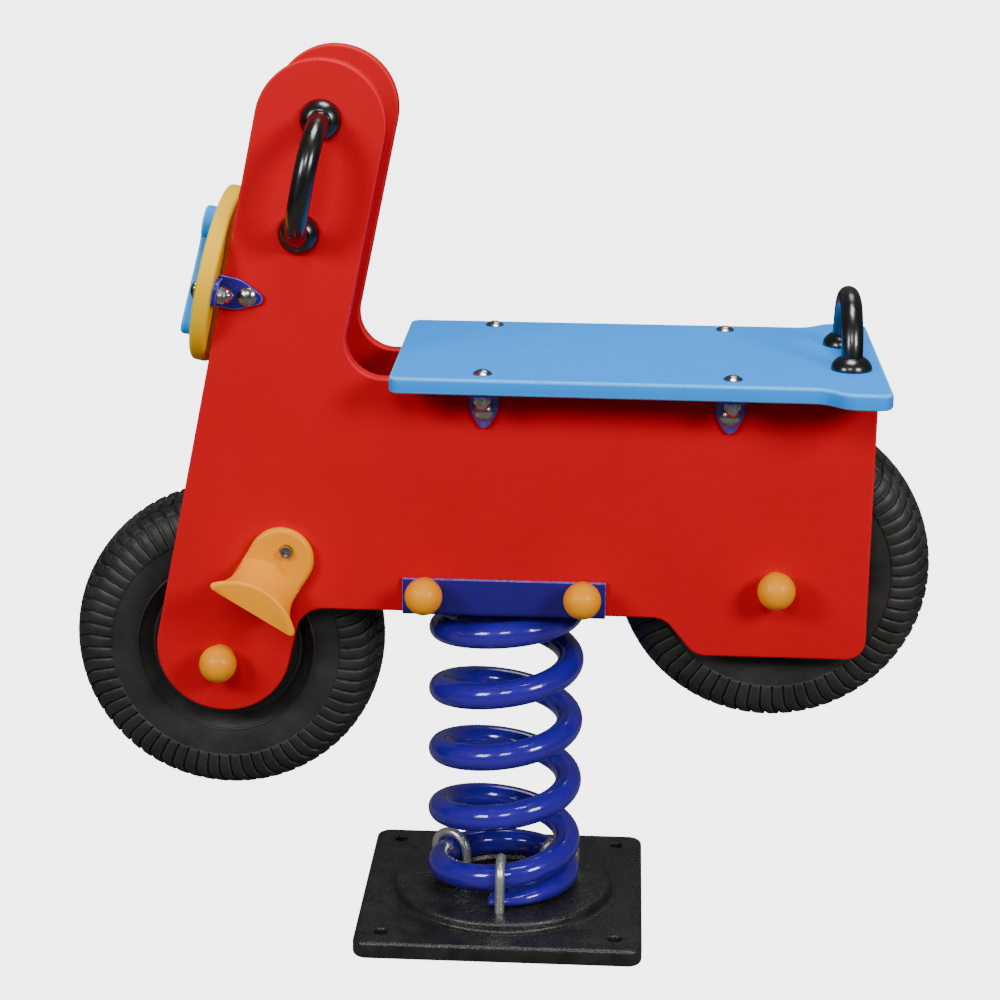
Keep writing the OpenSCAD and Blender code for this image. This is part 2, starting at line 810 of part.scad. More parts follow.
// The footrest on the +Y side: a flange on the panel and a peg whose arched top slopes outward
module footrest() {
    flange_half_w = 25;
    inner_half_chord = 27;
    inner_h = 33;
    outer_half_chord = 38.2;
    outer_h = 21;
    skin = 1;
    color(knob_orange) translate([footrest_at[0], panel_out, footrest_at[1]]) rotate([0, footrest_turn, 0])
        difference() {
            union() {
                plate_xz(0, footrest_plate_t) circle(footrest_r);
                plate_xz(0, footrest_plate_t) polygon(rounded([
                    [-footrest_r + 1, 0, 1], [footrest_r - 1, 0, 1], [flange_half_w, -footrest_drop, 3],
                    [-flange_half_w, -footrest_drop, 3]
                ]));
                hull() {
                    translate([0, 0, -footrest_drop]) {
                        plate_xz(0, skin) segment_outline(inner_half_chord, inner_h, $fn = 32);
                        plate_xz(footrest_reach - skin, footrest_reach)
                            segment_outline(outer_half_chord, outer_h, $fn = 32);
                    }
                }
            }
            translate([0, 0, footrest_bolt_up]) toward_y() {
                rod(m6_r + hole_clearance, -1, footrest_plate_t + 1);
                rod(footrest_recess_r, footrest_plate_t - 1, footrest_reach);
            }
        }
}

module right_footrest() { footrest(); }
module left_footrest() { mirror([0, 1, 0]) footrest(); }

module at_footrest_bolts() {
    both_sides() at_xz(footrest_bolt()) toward_y() children();
}

module footrest_bolts() {
    head_z = panel_out + footrest_plate_t - 1;
    head_h = 6;
    socket_flats = 5;
    color(zinc) at_footrest_bolts() difference() {
        union() {
            rod(m6_r, panel_in, head_z + 0.5);
            rod(m6_head_r, head_z, head_z + head_h);
        }
        translate([0, 0, head_z + 3]) cylinder(r = socket_flats / sqrt(3), h = head_h, $fn = 6);
    }
}

module footrest_tee_nuts() {
    color(zinc) at_footrest_bolts() difference() {
        union() {
            rod(tee_nut_r, panel_in, panel_in + washer_t);
            rod(tee_nut_barrel_r, panel_in, panel_in + tee_nut_barrel_l);
        }
        rod(m6_r + 0.05, panel_in - 1, panel_in + tee_nut_barrel_l + 1);
    }
}

// ---------- Axles ----------

module axle_bolt(p) {
    reach = panel_out + axle_thread_out;
    color(zinc) at_xz(p) toward_y() rod(m10_r, -reach, reach);
}

module front_axle_bolt() { axle_bolt(front_axle); }
module rear_axle_bolt() { axle_bolt(rear_axle); }

module axle_sleeves() {
    color(zinc) for (p = [front_axle, rear_axle]) at_xz(p) spacer();
}

module axle_nuts() {
    color(zinc) for (p = [front_axle, rear_axle]) at_xz(p) both_sides() translate([0, panel_out, 0]) toward_y()
        m10_nut();
}

module axle_ball_caps(p) {
    color(knob_orange) at_xz(p) both_sides() translate([0, panel_out, 0]) toward_y() ball_cap();
}

module front_axle_ball_caps() { axle_ball_caps(front_axle); }
module rear_axle_ball_caps() { axle_ball_caps(rear_axle); }

// ---------- Wheels ----------

// Sections are drawn as [radius, distance from the wheel's middle plane] and spun about the axle
module spun(p) {
    at_xz(p) toward_y() rotate_extrude($fn = 96) children();
}

// Points along an arched section that is open towards the hub
function arch(half_w, half_h) =
    [for (a = [-tyre_open_angle : 10 : 180 + tyre_open_angle])
        let (q = oval_point(a, half_w, half_h, tyre_squareness)) [tyre_oval_r + q[1], q[0]]];

function reversed(list) = [for (i = [len(list) - 1 : -1 : 0]) list[i]];

module tyre(p) {
    half_h = tyre_r - tyre_oval_r;
    inner_bead = bead_half_w - bead_t;
    color(tyre_black) spun(p) polygon(concat(
        [[bead_r, bead_half_w]],
        arch(tyre_half_w, half_h),
        [[bead_r, -bead_half_w], [bead_r, -inner_bead]],
        reversed(arch(tyre_half_w - wall_t, half_h - tread_t)),
        [[bead_r, inner_bead]]
    ));
}

// The air tube inside the tyre, with its valve stem on the +Y side
module inner_tube(p) {
    slack = 1;
    tube_wall = 2.5;
    stem_root = 4;
    half_w = tyre_half_w - wall_t - slack;
    half_h = tyre_r - tyre_oval_r - tread_t - slack;
    color(iron_black) {
        spun(p) difference() {
            closed_oval(half_w, half_h);
            closed_oval(half_w - tube_wall, half_h - tube_wall);
        }
        at_xz(p) toward_y() valve_shape(valve_r, tyre_oval_r - half_h + stem_root);
    }
}

module closed_oval(half_w, half_h) {
    polygon([for (a = [0 : 10 : 359]) let (q = oval_point(a, half_w, half_h, 2)) [tyre_oval_r + q[1], q[0]]]);
}

// The straight valve stem, from a radius inward to its free end
module valve_shape(r, from_r) {
    translate([0, 0, valve_out]) rotate([0, 90, 0]) rod(r, valve_end_r, from_r);
}

// One pressed rim half on the +Y side: riveted centre, drum, bead seat and flange
module rim_half() {
    seat_from = bead_half_w - 13;
    hub_slot = hub_flange_t / 2;
    rotate_extrude($fn = 96) polygon([
        [hub_r + gap, hub_slot], [hub_flange_r + 4, hub_slot], [rim_drum_r, rim_seam],
        [rim_drum_r + rim_sheet, rim_seam], [rim_drum_r + rim_sheet, seat_from - 2], [rim_seat_r, seat_from],
        [rim_seat_r, rim_flange_out], [rim_flange_r, rim_flange_out], [rim_flange_r, rim_flange_out + rim_sheet],
        [rim_seat_r - rim_sheet, rim_flange_out + rim_sheet], [rim_seat_r - rim_sheet, seat_from + rim_sheet],
        [rim_drum_r, seat_from], [rim_drum_r - 1, rim_sheet + hub_slot], [hub_r + gap, rim_sheet + hub_slot]
    ]);
}

module rim_halves(p) {
    color(grip_black) at_xz(p) difference() {
        both_sides() toward_y() difference() {
            rim_half();
            for (a = [45 : 90 : 359]) rotate([0, 0, a]) translate([rivet_circle_r, 0, 0]) rod(rivet_r, -1, 10);
        }
        toward_y() valve_shape(valve_r + gap, tyre_oval_r);
    }
}

// The hub tube, with the flange that the rim halves are riveted to and the four rivets
module hub(p) {
    rivet_end = hub_flange_t / 2 + rim_sheet;
    color(zinc) at_xz(p) toward_y() difference() {
        union() {
            rod(hub_r, -hub_half_l, hub_half_l);
            rod(hub_flange_r, -hub_flange_t / 2, hub_flange_t / 2);
            for (a = [45 : 90 : 359], side = [0, 1]) mirror([0, 0, side]) rotate([0, 0, a])
                translate([rivet_circle_r, 0, 0]) {
                    rod(rivet_r - 0.05, 0, rivet_end + 0.5);
                    translate([0, 0, rivet_end]) dome_head(5, 2.5);
                }
        }
        rod(hub_bore_r, -hub_half_l - 1, hub_half_l + 1);
    }
}

// Flanged bushes that run on the axle sleeve
module hub_bushes(p) {
    color(iron_black) at_xz(p) both_sides() toward_y() difference() {
        union() {
            rod(hub_bore_r, hub_half_l - bush_l, hub_half_l);
            rod(bush_flange_r, hub_half_l, hub_half_l + bush_flange_t);
        }
        rod(bush_bore_r, hub_half_l - bush_l - 1, hub_half_l + bush_flange_t + 1);
    }
}

module front_tyre() { tyre(front_axle); }
module front_inner_tube() { inner_tube(front_axle); }
module front_rim_halves() { rim_halves(front_axle); }
module front_hub() { hub(front_axle); }
module front_hub_bushes() { hub_bushes(front_axle); }
module rear_tyre() { tyre(rear_axle); }
module rear_inner_tube() { inner_tube(rear_axle); }
module rear_rim_halves() { rim_halves(rear_axle); }
module rear_hub() { hub(rear_axle); }
module rear_hub_bushes() { hub_bushes(rear_axle); }

base_plate();
base_u_bolts();
base_u_bolt_washers();
base_u_bolt_nuts();
spring_bottom_turn();
spring_lower_turns();
spring_middle_turns();
spring_upper_turns();
spring_top_turn();
saddle_channel();
spring_claws();
spring_claw_bolts();
saddle_through_bolts();
saddle_spacers();
saddle_nuts();
saddle_ball_caps();
left_side_panel();
right_side_panel();
seat_board();
seat_brackets();
seat_bolts();
seat_acorn_nuts();
seat_bracket_bolts();
seat_bracket_nuts();
headlight_board();
headlight_emblem();
emblem_screws();
left_headlight_bracket();
right_headlight_bracket();
headlight_bolts();
headlight_acorn_nuts();
headlight_bracket_bolts();
headlight_bracket_nuts();
left_grab_handle();
right_grab_handle();
seat_grab_handle();
panel_handle_bolts();
seat_handle_bolts();
left_footrest();
right_footrest();
footrest_bolts();
footrest_tee_nuts();
front_axle_bolt();
rear_axle_bolt();
axle_sleeves();
axle_nuts();
front_axle_ball_caps();
rear_axle_ball_caps();
front_tyre();
front_inner_tube();
front_rim_halves();
front_hub();
front_hub_bushes();
rear_tyre();
rear_inner_tube();
rear_rim_halves();
rear_hub();
rear_hub_bushes();
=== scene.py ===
import json
import math

import bmesh
import bpy
import numpy as np
from mathutils import Matrix, Vector


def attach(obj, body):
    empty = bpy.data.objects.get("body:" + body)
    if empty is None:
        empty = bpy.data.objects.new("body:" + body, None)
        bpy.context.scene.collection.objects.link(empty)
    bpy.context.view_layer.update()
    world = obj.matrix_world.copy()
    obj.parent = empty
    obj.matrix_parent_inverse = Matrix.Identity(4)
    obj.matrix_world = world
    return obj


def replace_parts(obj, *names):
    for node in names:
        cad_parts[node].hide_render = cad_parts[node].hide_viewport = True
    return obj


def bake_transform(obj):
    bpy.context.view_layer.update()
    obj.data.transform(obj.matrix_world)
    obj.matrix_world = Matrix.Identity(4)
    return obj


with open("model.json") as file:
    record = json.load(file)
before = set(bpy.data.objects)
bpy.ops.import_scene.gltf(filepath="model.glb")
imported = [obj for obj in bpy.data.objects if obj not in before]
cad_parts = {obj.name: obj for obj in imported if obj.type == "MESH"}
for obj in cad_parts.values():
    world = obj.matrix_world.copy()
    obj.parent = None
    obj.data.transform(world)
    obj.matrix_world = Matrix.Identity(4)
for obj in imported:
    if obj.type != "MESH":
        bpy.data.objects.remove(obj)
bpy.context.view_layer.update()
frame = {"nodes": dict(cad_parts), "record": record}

# Lengths are in millimetres up to the point where a mesh is made, which is in metres.
MM = 0.001
SHARP_ANGLE = 35

# ---------- Sizes ----------

# Base and spring
BASE_HALF = 118
BASE_T = 15
BASE_CORNER = 12
BOSS_R = 90
BOSS_FOOT_R = 95
BOSS_TOP = 23
RECESS_R = 50
RECESS_Z = 19
GROUND_BOLT = 95.5
U_BOLT_R = 4
U_ARCH_R = 15.6
U_BOLT_ANGLES = [-90, 30, 150]
ROD_R = 11
COIL_R = 53.5
COIL_START = -100
COIL_TURNS = 5.9
COIL_FLAT = 0.45
COIL_BLEND = 0.65
COIL_TIP = 9.5
COIL_TAPER = 0.32
COIL_BOTTOM = BOSS_TOP + ROD_R
SADDLE_Z = 278
COIL_TOP = SADDLE_Z - ROD_R

# Panels
PANEL_IN = 46
PANEL_OUT = 61
PLATE_T = 4
PANEL_BOLT_L = PANEL_OUT - PANEL_IN + PLATE_T + 8
NECK_LEAN = 11.3
NECK_TOP = Vector((-146, 668.5))
NECK_R = 51
FRONT_FOOT = Vector((-227.5, 245))
FRONT_FOOT_R = 54
LEAN_UP = Vector((math.sin(math.radians(NECK_LEAN)), math.cos(math.radians(NECK_LEAN))))
LEAN_BACK = Vector((LEAN_UP.y, -LEAN_UP.x))
PANEL_EDGE = 1.8

# Saddle channel and its bolts
SADDLE_HALF_L = 81.5
SADDLE_OUT = PANEL_OUT + PLATE_T
SADDLE_TOP = 309
SADDLE_BOLTS = [(-63, 300), (63, 300)]

# Seat
SEAT_Z = 471
SEAT_T = 13
SEAT_TOP = SEAT_Z + SEAT_T
SEAT_BOLTS = [(x, y) for x in (-17.5, 175) for y in (-91.5, 91.5)]
BRACKET_HALF_W = 11.8
BRACKET_REACH = 104
BRACKET_BOLT_Z = 448

# Headlight
HEADLIGHT_DROP = 142
HEADLIGHT_HALF = (86, 71)
HEADLIGHT_T = 13.5
EMBLEM_T = 13
HEADLIGHT_BOLT_Y = 77
TONGUE_BOLT = 21.5
TONGUE_HALF_W = 12.5

# Handles and footrests
HANDLE_HALF = 45
HANDLE_REACH = 47.5
GRIP_R = 8.5
HANDLE_ELBOW = 40
HANDLE_FOOT_R = 16.3
HANDLE_FOOT_H = 10
SEAT_HANDLE_X = 269
FOOTREST_AT = (-179, 322)
FOOTREST_TURN = 31
FOOTREST_BOLT_UP = 10
FOOTREST_PLATE_T = 9
FOOTREST_DROP = 35
FOOTREST_REACH = 50
FOOTREST_SINK = 1

# Wheels
AXLES = {"front": (-229, 237), "rear": (216, 311)}
BALL_R = 15
BALL_OUT = 18
TYRE_R = 127.5
TYRE_HALF_W = 40
TYRE_OVAL_R = 91
BEAD_R = 51.5
BEAD_HALF_W = 27
LUGS = 68


# ---------- Placing ----------


def shift(x=0, y=0, z=0):
    return Matrix.Translation((x, y, z))


def turn(axis, degrees):
    return Matrix.Rotation(math.radians(degrees), 4, axis)


# Turns a form drawn along +Z so that it points along +Y
TO_Y = turn("X", -90)
MIRROR_Y = Matrix.Scale(-1, 4, (0, 1, 0))
BOTH_SIDES = [Matrix.Identity(4), MIRROR_Y]


def plate_xz(to):
    """Stands a flat form up in X and Z, its far face at y = to."""
    return shift(y=to) @ turn("X", 90)


def plate_yz(start):
    """Stands a flat form up in Y and Z, its near face at x = start."""
    return shift(x=start) @ turn("Z", 90) @ turn("X", 90)


def on_neck(down):
    """A place on the neck's centre line, below its top."""
    return NECK_TOP - down * LEAN_UP


def front_edge():
    """The leaning frame of the headlight: X points back, Z up the panels' front edge."""
    place = NECK_TOP - NECK_R * LEAN_BACK - HEADLIGHT_DROP * LEAN_UP
    return shift(place.x, 0, place.y) @ turn("Y", NECK_LEAN)


# ---------- Outlines ----------


def rounded(corners, closed=True, steps=8):
    """The points of a line through corners (x, y, radius), with each corner rounded."""
    points = []
    for i, (x, y, radius) in enumerate(corners):
        here = Vector((x, y))
        if radius == 0 or (not closed and i in (0, len(corners) - 1)):
            points.append(tuple(here))
            continue
        before = (Vector(corners[i - 1][:2]) - here).normalized()
        after = (Vector(corners[(i + 1) % len(corners)][:2]) - here).normalized()
        half = before.angle(after) / 2
        centre = here + (before + after).normalized() * radius / math.sin(half)
        first = here + before * radius / math.tan(half) - centre
        way = math.copysign(1, before.y * after.x - before.x * after.y)
        for k in range(steps + 1):
            spoke = first.copy()
            spoke.rotate(Matrix.Rotation(way * (math.pi - 2 * half) * k / steps, 2))
            points.append(tuple(centre + spoke))
    return points


def circle(radius, sides=48):
    angles = np.arange(sides) * 2 * math.pi / sides
    return np.stack([radius * np.cos(angles), radius * np.sin(angles)], 1)


def hexagon(flats, limit, sides=48):
    """A hexagon whose corners are cut back to a distance from its middle."""
    angles = np.arange(sides) * 2 * math.pi / sides
    reach = flats / 2 / np.cos((angles + math.pi / 6) % (math.pi / 3) - math.pi / 6)
    reach = np.minimum(reach, limit)
    return np.stack([reach * np.cos(angles), reach * np.sin(angles)], 1)


def inset(outline, distance):
    """Moves every point of a counter-clockwise outline inwards."""
    points = np.asarray(outline, float)
    edges = np.roll(points, -1, 0) - points
    edges /= np.linalg.norm(edges, axis=1)[:, None]
    inward = np.stack([-edges[:, 1], edges[:, 0]], 1)
    last = np.roll(inward, 1, 0)
    mitre = (inward + last) / (1 + (inward * last).sum(1))[:, None]
    return points + mitre * distance


# ---------- Forms ----------


class Form:
    """Points in millimetres, faces, and how much wear and painted highlight each point shows, from 0 to 1.
    """

    def __init__(self, points, faces, wear_and_highlight):
        self.points = np.asarray(points, float)
        self.faces = faces
        self.wear_and_highlight = wear_and_highlight

    def at(self, matrix):
        """The same form, moved."""
        m = np.array(matrix)
        return Form(self.points @ m[:3, :3].T + m[:3, 3], self.faces, self.wear_and_highlight)


def loft(rings, closed=False, wear_and_highlight=0.0):
    """A skin over rings of equally many points, capped unless it closes on itself.

    The share of wear and painted highlight may be given for each ring.
    """
    rings = np.asarray(rings, float)
    count, sides = rings.shape[:2]
    i, k = np.meshgrid(np.arange(count if closed else count - 1), np.arange(sides), indexing="ij")
    j = (i + 1) % count
    l = (k + 1) % sides
    corners = [i * sides + k, i * sides + l, j * sides + l, j * sides + k]
    faces = np.stack(corners, -1).reshape(-1, 4).tolist()
    if not closed:
        faces.append(list(range(sides - 1, -1, -1)))
        faces.append([(count - 1) * sides + k for k in range(sides)])
    wear_and_highlight = np.repeat(np.broadcast_to(wear_and_highlight, count), sides)
    return Form(rings.reshape(-1, 3), faces, wear_and_highlight)


def stacked(levels, wear_and_highlight=0.0):
    """A form made of flat outlines of equally many points, each (outline, height)."""
    return loft([np.column_stack([o, np.full(len(o), z)]) for o, z in levels], wear_and_highlight=wear_and_highlight)


def turned(profile, sides=64, closed=False, wear_and_highlight=0.0):
    """A form turned about Z from a profile of (radius, height)."""
    rings = [np.column_stack([circle(r, sides), np.full(sides, z)]) for r, z in profile]
    return loft(rings, closed, wear_and_highlight)


def rim(edge, steps=5):
    """How far in and how high a rounded edge runs, from the flat face to the side, and its share of wear
    and painted highlight, greatest midway round.
    """
    quarter = np.linspace(0, math.pi / 2, steps + 1)
    return [(edge * (1 - math.sin(a)), edge * (1 - math.cos(a)), math.sin(2 * a)) for a in quarter]


def board(outline, thick, edge, flat=0.8):
    """A board from z = 0 up with that outline and rounded edges, which carry the share of wear and painted
    highlight.
    """
    low = [(edge + flat, 0.0, 0.0)] + rim(edge)
    high = [(i, thick - z, w) for i, z, w in reversed(low)]
    levels = low + high
    return stacked([(inset(outline, i), z) for i, z, w in levels], [w for i, z, w in levels])


def tube(path, radius, sides=24, wear_and_highlight=0.0):
    """A round bar along a path of points. The radius may be given for each point."""
    path = np.asarray(path, float)
    radii = np.broadcast_to(radius, len(path))
    along = np.gradient(path, axis=0)
    along /= np.linalg.norm(along, axis=1)[:, None]
    side = np.cross(along[0], (0.3, 0.5, 0.8))
    angles = (np.arange(sides) * 2 * math.pi / sides)[:, None]
    rings = []
    for point, ahead, r in zip(path, along, radii):
        side = side - ahead * side.dot(ahead)
        side /= np.linalg.norm(side)
        up = np.cross(ahead, side)
        rings.append(point + r * (np.cos(angles) * side + np.sin(angles) * up))
    return loft(rings, wear_and_highlight=wear_and_highlight)


def dome_profile(radius, height, lip=0.8, steps=9):
    """The profile of a shallow dome head that stands on z = 0."""
    rise = height - lip
    ball = (radius**2 + rise**2) / (2 * rise)
    arc = np.linspace(math.asin(radius / ball), 0.02, steps)
    return [(radius - 0.3, 0), (radius, 0.3)] + [
        (ball * math.sin(a), height - ball + ball * math.cos(a)) for a in arc
    ]


def joined(forms):
    """Several forms as one."""
    faces = []
    start = 0
    for form in forms:
        faces += [[start + v for v in face] for face in form.faces]
        start += len(form.points)
    return Form(np.concatenate([f.points for f in forms]), faces, np.concatenate([f.wear_and_highlight for f in forms]))


def mesh_of(name, form, scale=1.0):
    mesh = bpy.data.meshes.new(name)
    mesh.from_pydata((form.points * scale).tolist(), [], form.faces)
    skin = bmesh.new()
    skin.from_mesh(mesh)
    bmesh.ops.recalc_face_normals(skin, faces=skin.faces)
    skin.to_mesh(mesh)
    skin.free()
    return mesh


def carved(form, added=(), cut=()):
    """The form with others joined to it and cut out of it, as one skin."""
    scratch = []

    def solid(shape):
        o = bpy.data.objects.new("scratch", mesh_of("scratch", shape))
        bpy.context.scene.collection.objects.link(o)
        scratch.append(o)
        return o

    body = solid(form)
    for operation, shapes in (("UNION", added), ("DIFFERENCE", cut)):
        for shape in shapes:
            step = body.modifiers.new(operation, "BOOLEAN")
            step.operation = operation
            step.solver = "EXACT"
            step.object = solid(shape)
    bpy.context.view_layer.update()
    mesh = bpy.data.meshes.new_from_object(body.evaluated_get(bpy.context.evaluated_depsgraph_get()))
    points = [tuple(v.co) for v in mesh.vertices]
    faces = [list(p.vertices) for p in mesh.polygons]
    for o in scratch:
        bpy.data.objects.remove(o)
    return Form(points, faces, np.zeros(len(points)))


# ---------- Finishes ----------


def linear(red, green, blue):
    """A colour as it appears on a screen, in parts of 255, as the light it stands for."""
    shown = [c / 255 for c in (red, green, blue)]
    return tuple(((c + 0.055) / 1.055) ** 2.4 if c > 0.04 else c / 12.92 for c in shown) + (1,)


class Finish:
    """A procedural finish around one Principled shader, patterned in the object's own coordinates."""

    def __init__(self, slot, **constants):
        self.slot = slot
        self.material = bpy.data.materials.new(slot + "_finish")
        self.material.use_nodes = True
        self.tree = self.material.node_tree
        self.shader = self.tree.nodes["Principled BSDF"]
        self.space = self.tree.nodes.new("ShaderNodeTexCoord").outputs["Object"]
        self.relief = None
        for socket, value in constants.items():
            self.shader.inputs[socket.replace("_", " ")].default_value = value

    def node(self, kind, inputs=(), **settings):
        n = self.tree.nodes.new(kind)
        for key, value in settings.items():
            setattr(n, key, value)
        for key, value in inputs:
            if isinstance(value, bpy.types.NodeSocket):
                self.tree.links.new(value, n.inputs[key])
            else:
                n.inputs[key].default_value = value
        return n

    def noise(self, size, detail=3.0, rough=0.5, stretch=(1, 1, 1)):
        """Noise whose blots are about size millimetres wide, from 0 to 1."""
        space = self.node("ShaderNodeMapping", [("Vector", self.space), ("Scale", stretch)]).outputs[0]
        inputs = [("Vector", space), ("Scale", 1 / (size * MM)), ("Detail", detail), ("Roughness", rough)]
        return self.node("ShaderNodeTexNoise", inputs).outputs["Fac"]

    def cells(self, size, feature="F1"):
        inputs = [("Vector", self.space), ("Scale", 1 / (size * MM))]
        return self.node("ShaderNodeTexVoronoi", inputs, feature=feature).outputs["Distance"]

    def worn_and_lit(self):
        """How much wear and painted highlight the mesh carries at a point."""
        return self.node("ShaderNodeAttribute", attribute_name="wear_and_highlight").outputs["Fac"]

    def spread(self, source, low, high, start=0.3, end=0.7):
        """The source's range from start to end, spread over low to high."""
        inputs = [("Value", source), ("From Min", start), ("From Max", end)]
        inputs += [("To Min", low), ("To Max", high)]
        return self.node("ShaderNodeMapRange", inputs).outputs[0]

    def times(self, a, b):
        return self.node("ShaderNodeMath", [(0, a), (1, b)], operation="MULTIPLY").outputs[0]

    def plus(self, a, b):
        return self.node("ShaderNodeMath", [(0, a), (1, b)], operation="ADD").outputs[0]

    def mixed(self, amount, a, b):
        inputs = [(0, amount), (6, a), (7, b)]
        return self.node("ShaderNodeMix", inputs, data_type="RGBA").outputs[2]

    def colour(self, source):
        self.tree.links.new(source, self.shader.inputs["Base Color"])

    def roughness(self, source):
        self.tree.links.new(source, self.shader.inputs["Roughness"])

    def bump(self, height, depth):
        """Adds relief that is depth millimetres high."""
        n = self.node("ShaderNodeBump", [("Height", height), ("Distance", depth * MM)])
        if self.relief:
            self.tree.links.new(self.relief, n.inputs["Normal"])
        self.relief = n.outputs[0]
        self.tree.links.new(self.relief, self.shader.inputs["Normal"])


def board_finish(slot, face, shade, edge, rough=0.4):
    """Dyed polyethylene board: a fine pebbled face, faint rub marks, and paler edges that are partly the
    routed edge's own tone and partly a painted highlight along the rounded edges.
    """
    f = Finish(slot, Specular_IOR_Level=0.12)
    cloudy = f.noise(70, 4, 0.55)
    fine = f.noise(2.2, 2)
    rubs = f.noise(5, 3, 0.6, (0.12, 1, 1.6))
    face_colour = f.mixed(f.spread(cloudy, 0, 1), face, shade)
    # Paler edge colour, partly the routed edge's own tone and partly a painted highlight, strongest midway
    # round each rounded edge
    edge_and_highlight_share = f.times(f.worn_and_lit(), f.spread(fine, 0.35, 0.75))
    f.colour(f.mixed(edge_and_highlight_share, face_colour, edge))
    f.roughness(f.plus(f.spread(rubs, rough - 0.05, rough + 0.07), f.spread(cloudy, -0.03, 0.05)))
    f.bump(f.noise(1.1, 2, 0.6), 0.05)
    f.bump(fine, 0.06)
    f.bump(rubs, 0.03)
    return f


def moulded_finish(slot, face, shade, rough, **constants):
    """Moulded nylon: an almost smooth skin with faint flow marks."""
    f = Finish(slot, **constants)
    flow = f.noise(24, 3, 0.5, (1, 1, 0.45))
    pale = f.times(f.worn_and_lit(), f.spread(f.noise(3, 3), 0.1, 0.5))
    f.colour(f.mixed(f.spread(flow, 0, 1), face, shade))
    f.roughness(f.plus(f.spread(f.noise(9, 4), rough - 0.05, rough + 0.06), f.times(pale, 0.15)))
    f.bump(flow, 0.12)
    f.bump(f.noise(0.9, 2), 0.015)
    return f


def paint_finish(slot, face, shade, bare_and_lit, rough, coat=1.0, peel=0.05):
    """Thick gloss paint on steel: slight orange peel, faint clouds, and marked places lighter, partly
    rubbed paint and partly a painted highlight along edges.
    """
    f = Finish(slot, Coat_Weight=coat, Coat_Roughness=0.03, Specular_IOR_Level=0.3)
    cloudy = f.noise(40, 4, 0.6)
    # Lighter colour where the mesh is marked: rubbed patches on the spring and rim, a painted highlight
    # along the bracket and saddle edges
    rubbed_and_lit = f.times(f.worn_and_lit(), f.spread(f.noise(4, 5, 0.7), 0.35, 1, 0.4, 0.6))
    f.colour(f.mixed(rubbed_and_lit, f.mixed(f.spread(cloudy, 0, 1), face, shade), bare_and_lit))
    f.roughness(f.plus(f.spread(f.noise(12, 4), rough - 0.04, rough + 0.08), f.times(rubbed_and_lit, 0.15)))
    f.bump(f.noise(6, 2), peel)
    return f


def zinc_finish(slot, face, shade, rough, spangle, metallic=1.0):
    """Plated steel: bright, with darker clouds, a faint spangle and fine scratches."""
    f = Finish(slot, Metallic=metallic)
    cloudy = f.noise(spangle * 2, 4, 0.6)
    cells = f.cells(spangle)
    f.colour(f.mixed(f.spread(cloudy, 0, 1), face, shade))
    f.roughness(f.plus(f.spread(cells, rough - 0.04, rough + 0.08, 0, 0.8), f.spread(cloudy, -0.03, 0.08)))
    f.bump(f.noise(1.6, 2, 0.5, (1, 1, 3)), 0.02)
    return f


def iron_finish():
    """Rough casting under gloss black paint: glittering sand, soft lumps, and the recess and boss edges
    grey, partly rubbed paint and partly a painted highlight.
    """
    f = Finish("base_iron", Specular_IOR_Level=0.6)
    sand = f.noise(1.5, 3, 0.65)
    lumps = f.noise(15, 3, 0.5)
    worn_and_lit = f.times(f.worn_and_lit(), f.spread(f.noise(4, 5, 0.7), 0, 0.5, 0.46, 0.7))
    black = f.mixed(f.spread(lumps, 0, 1), linear(21, 21, 21), linear(42, 42, 41))
    # Grey where the mesh is marked: a painted highlight along the recess and boss edges, partly rubbed
    # paint
    f.colour(f.mixed(worn_and_lit, black, linear(84, 82, 80)))
    f.roughness(f.plus(f.spread(sand, 0.16, 0.4), f.times(worn_and_lit, 0.1)))
    f.bump(sand, 0.4)
    f.bump(lumps, 0.6)
    return f


def rubber_finish(slot, rough):
    """Moulded black rubber: finely grained, dull, dusty in places, with its raised lug edges painted paler
    as a highlight.
    """
    f = Finish(slot, Specular_IOR_Level=0.3)
    cloudy = f.noise(30, 5, 0.6)
    # Paler colour along the lug edges is a painted highlight
    rubbed_and_lit = f.times(f.worn_and_lit(), f.spread(f.noise(7, 5, 0.7), 0.2, 1, 0.38, 0.62))
    black = f.mixed(f.spread(cloudy, 0, 1), linear(32, 33, 31), linear(52, 53, 49))
    f.colour(f.mixed(rubbed_and_lit, black, linear(96, 98, 95)))
    f.roughness(f.spread(f.noise(8, 5, 0.6), rough - 0.08, rough + 0.1))
    f.bump(f.noise(1.4, 3, 0.6), 0.06)
    f.bump(cloudy, 0.3)
    return f


# Each board's third colour is its paler edge: partly the routed edge's own tone, partly a painted highlight
RED = board_finish("panel_red", linear(209, 0, 25), linear(203, 0, 22), linear(230, 26, 42), 0.5)
BLUE = board_finish("board_blue", linear(8, 150, 255), linear(5, 144, 252), linear(120, 208, 255), 0.46)
YELLOW = board_finish("board_yellow", linear(255, 198, 2), linear(252, 190, 1), linear(255, 222, 50), 0.46)
ORANGE = moulded_finish(
    "knob_orange", linear(255, 165, 0), linear(253, 157, 0), 0.34, Specular_IOR_Level=0.25
)
GRIP = moulded_finish(
    "grip_black", linear(9, 9, 10), linear(14, 14, 15), 0.28, Coat_Weight=0.7, Coat_Roughness=0.16
)
BUSH = moulded_finish("bush_black", linear(34, 34, 34), linear(46, 46, 46), 0.5)
SPRING = paint_finish("spring_blue", linear(50, 18, 168), linear(42, 14, 154), linear(80, 60, 190), 0.16)
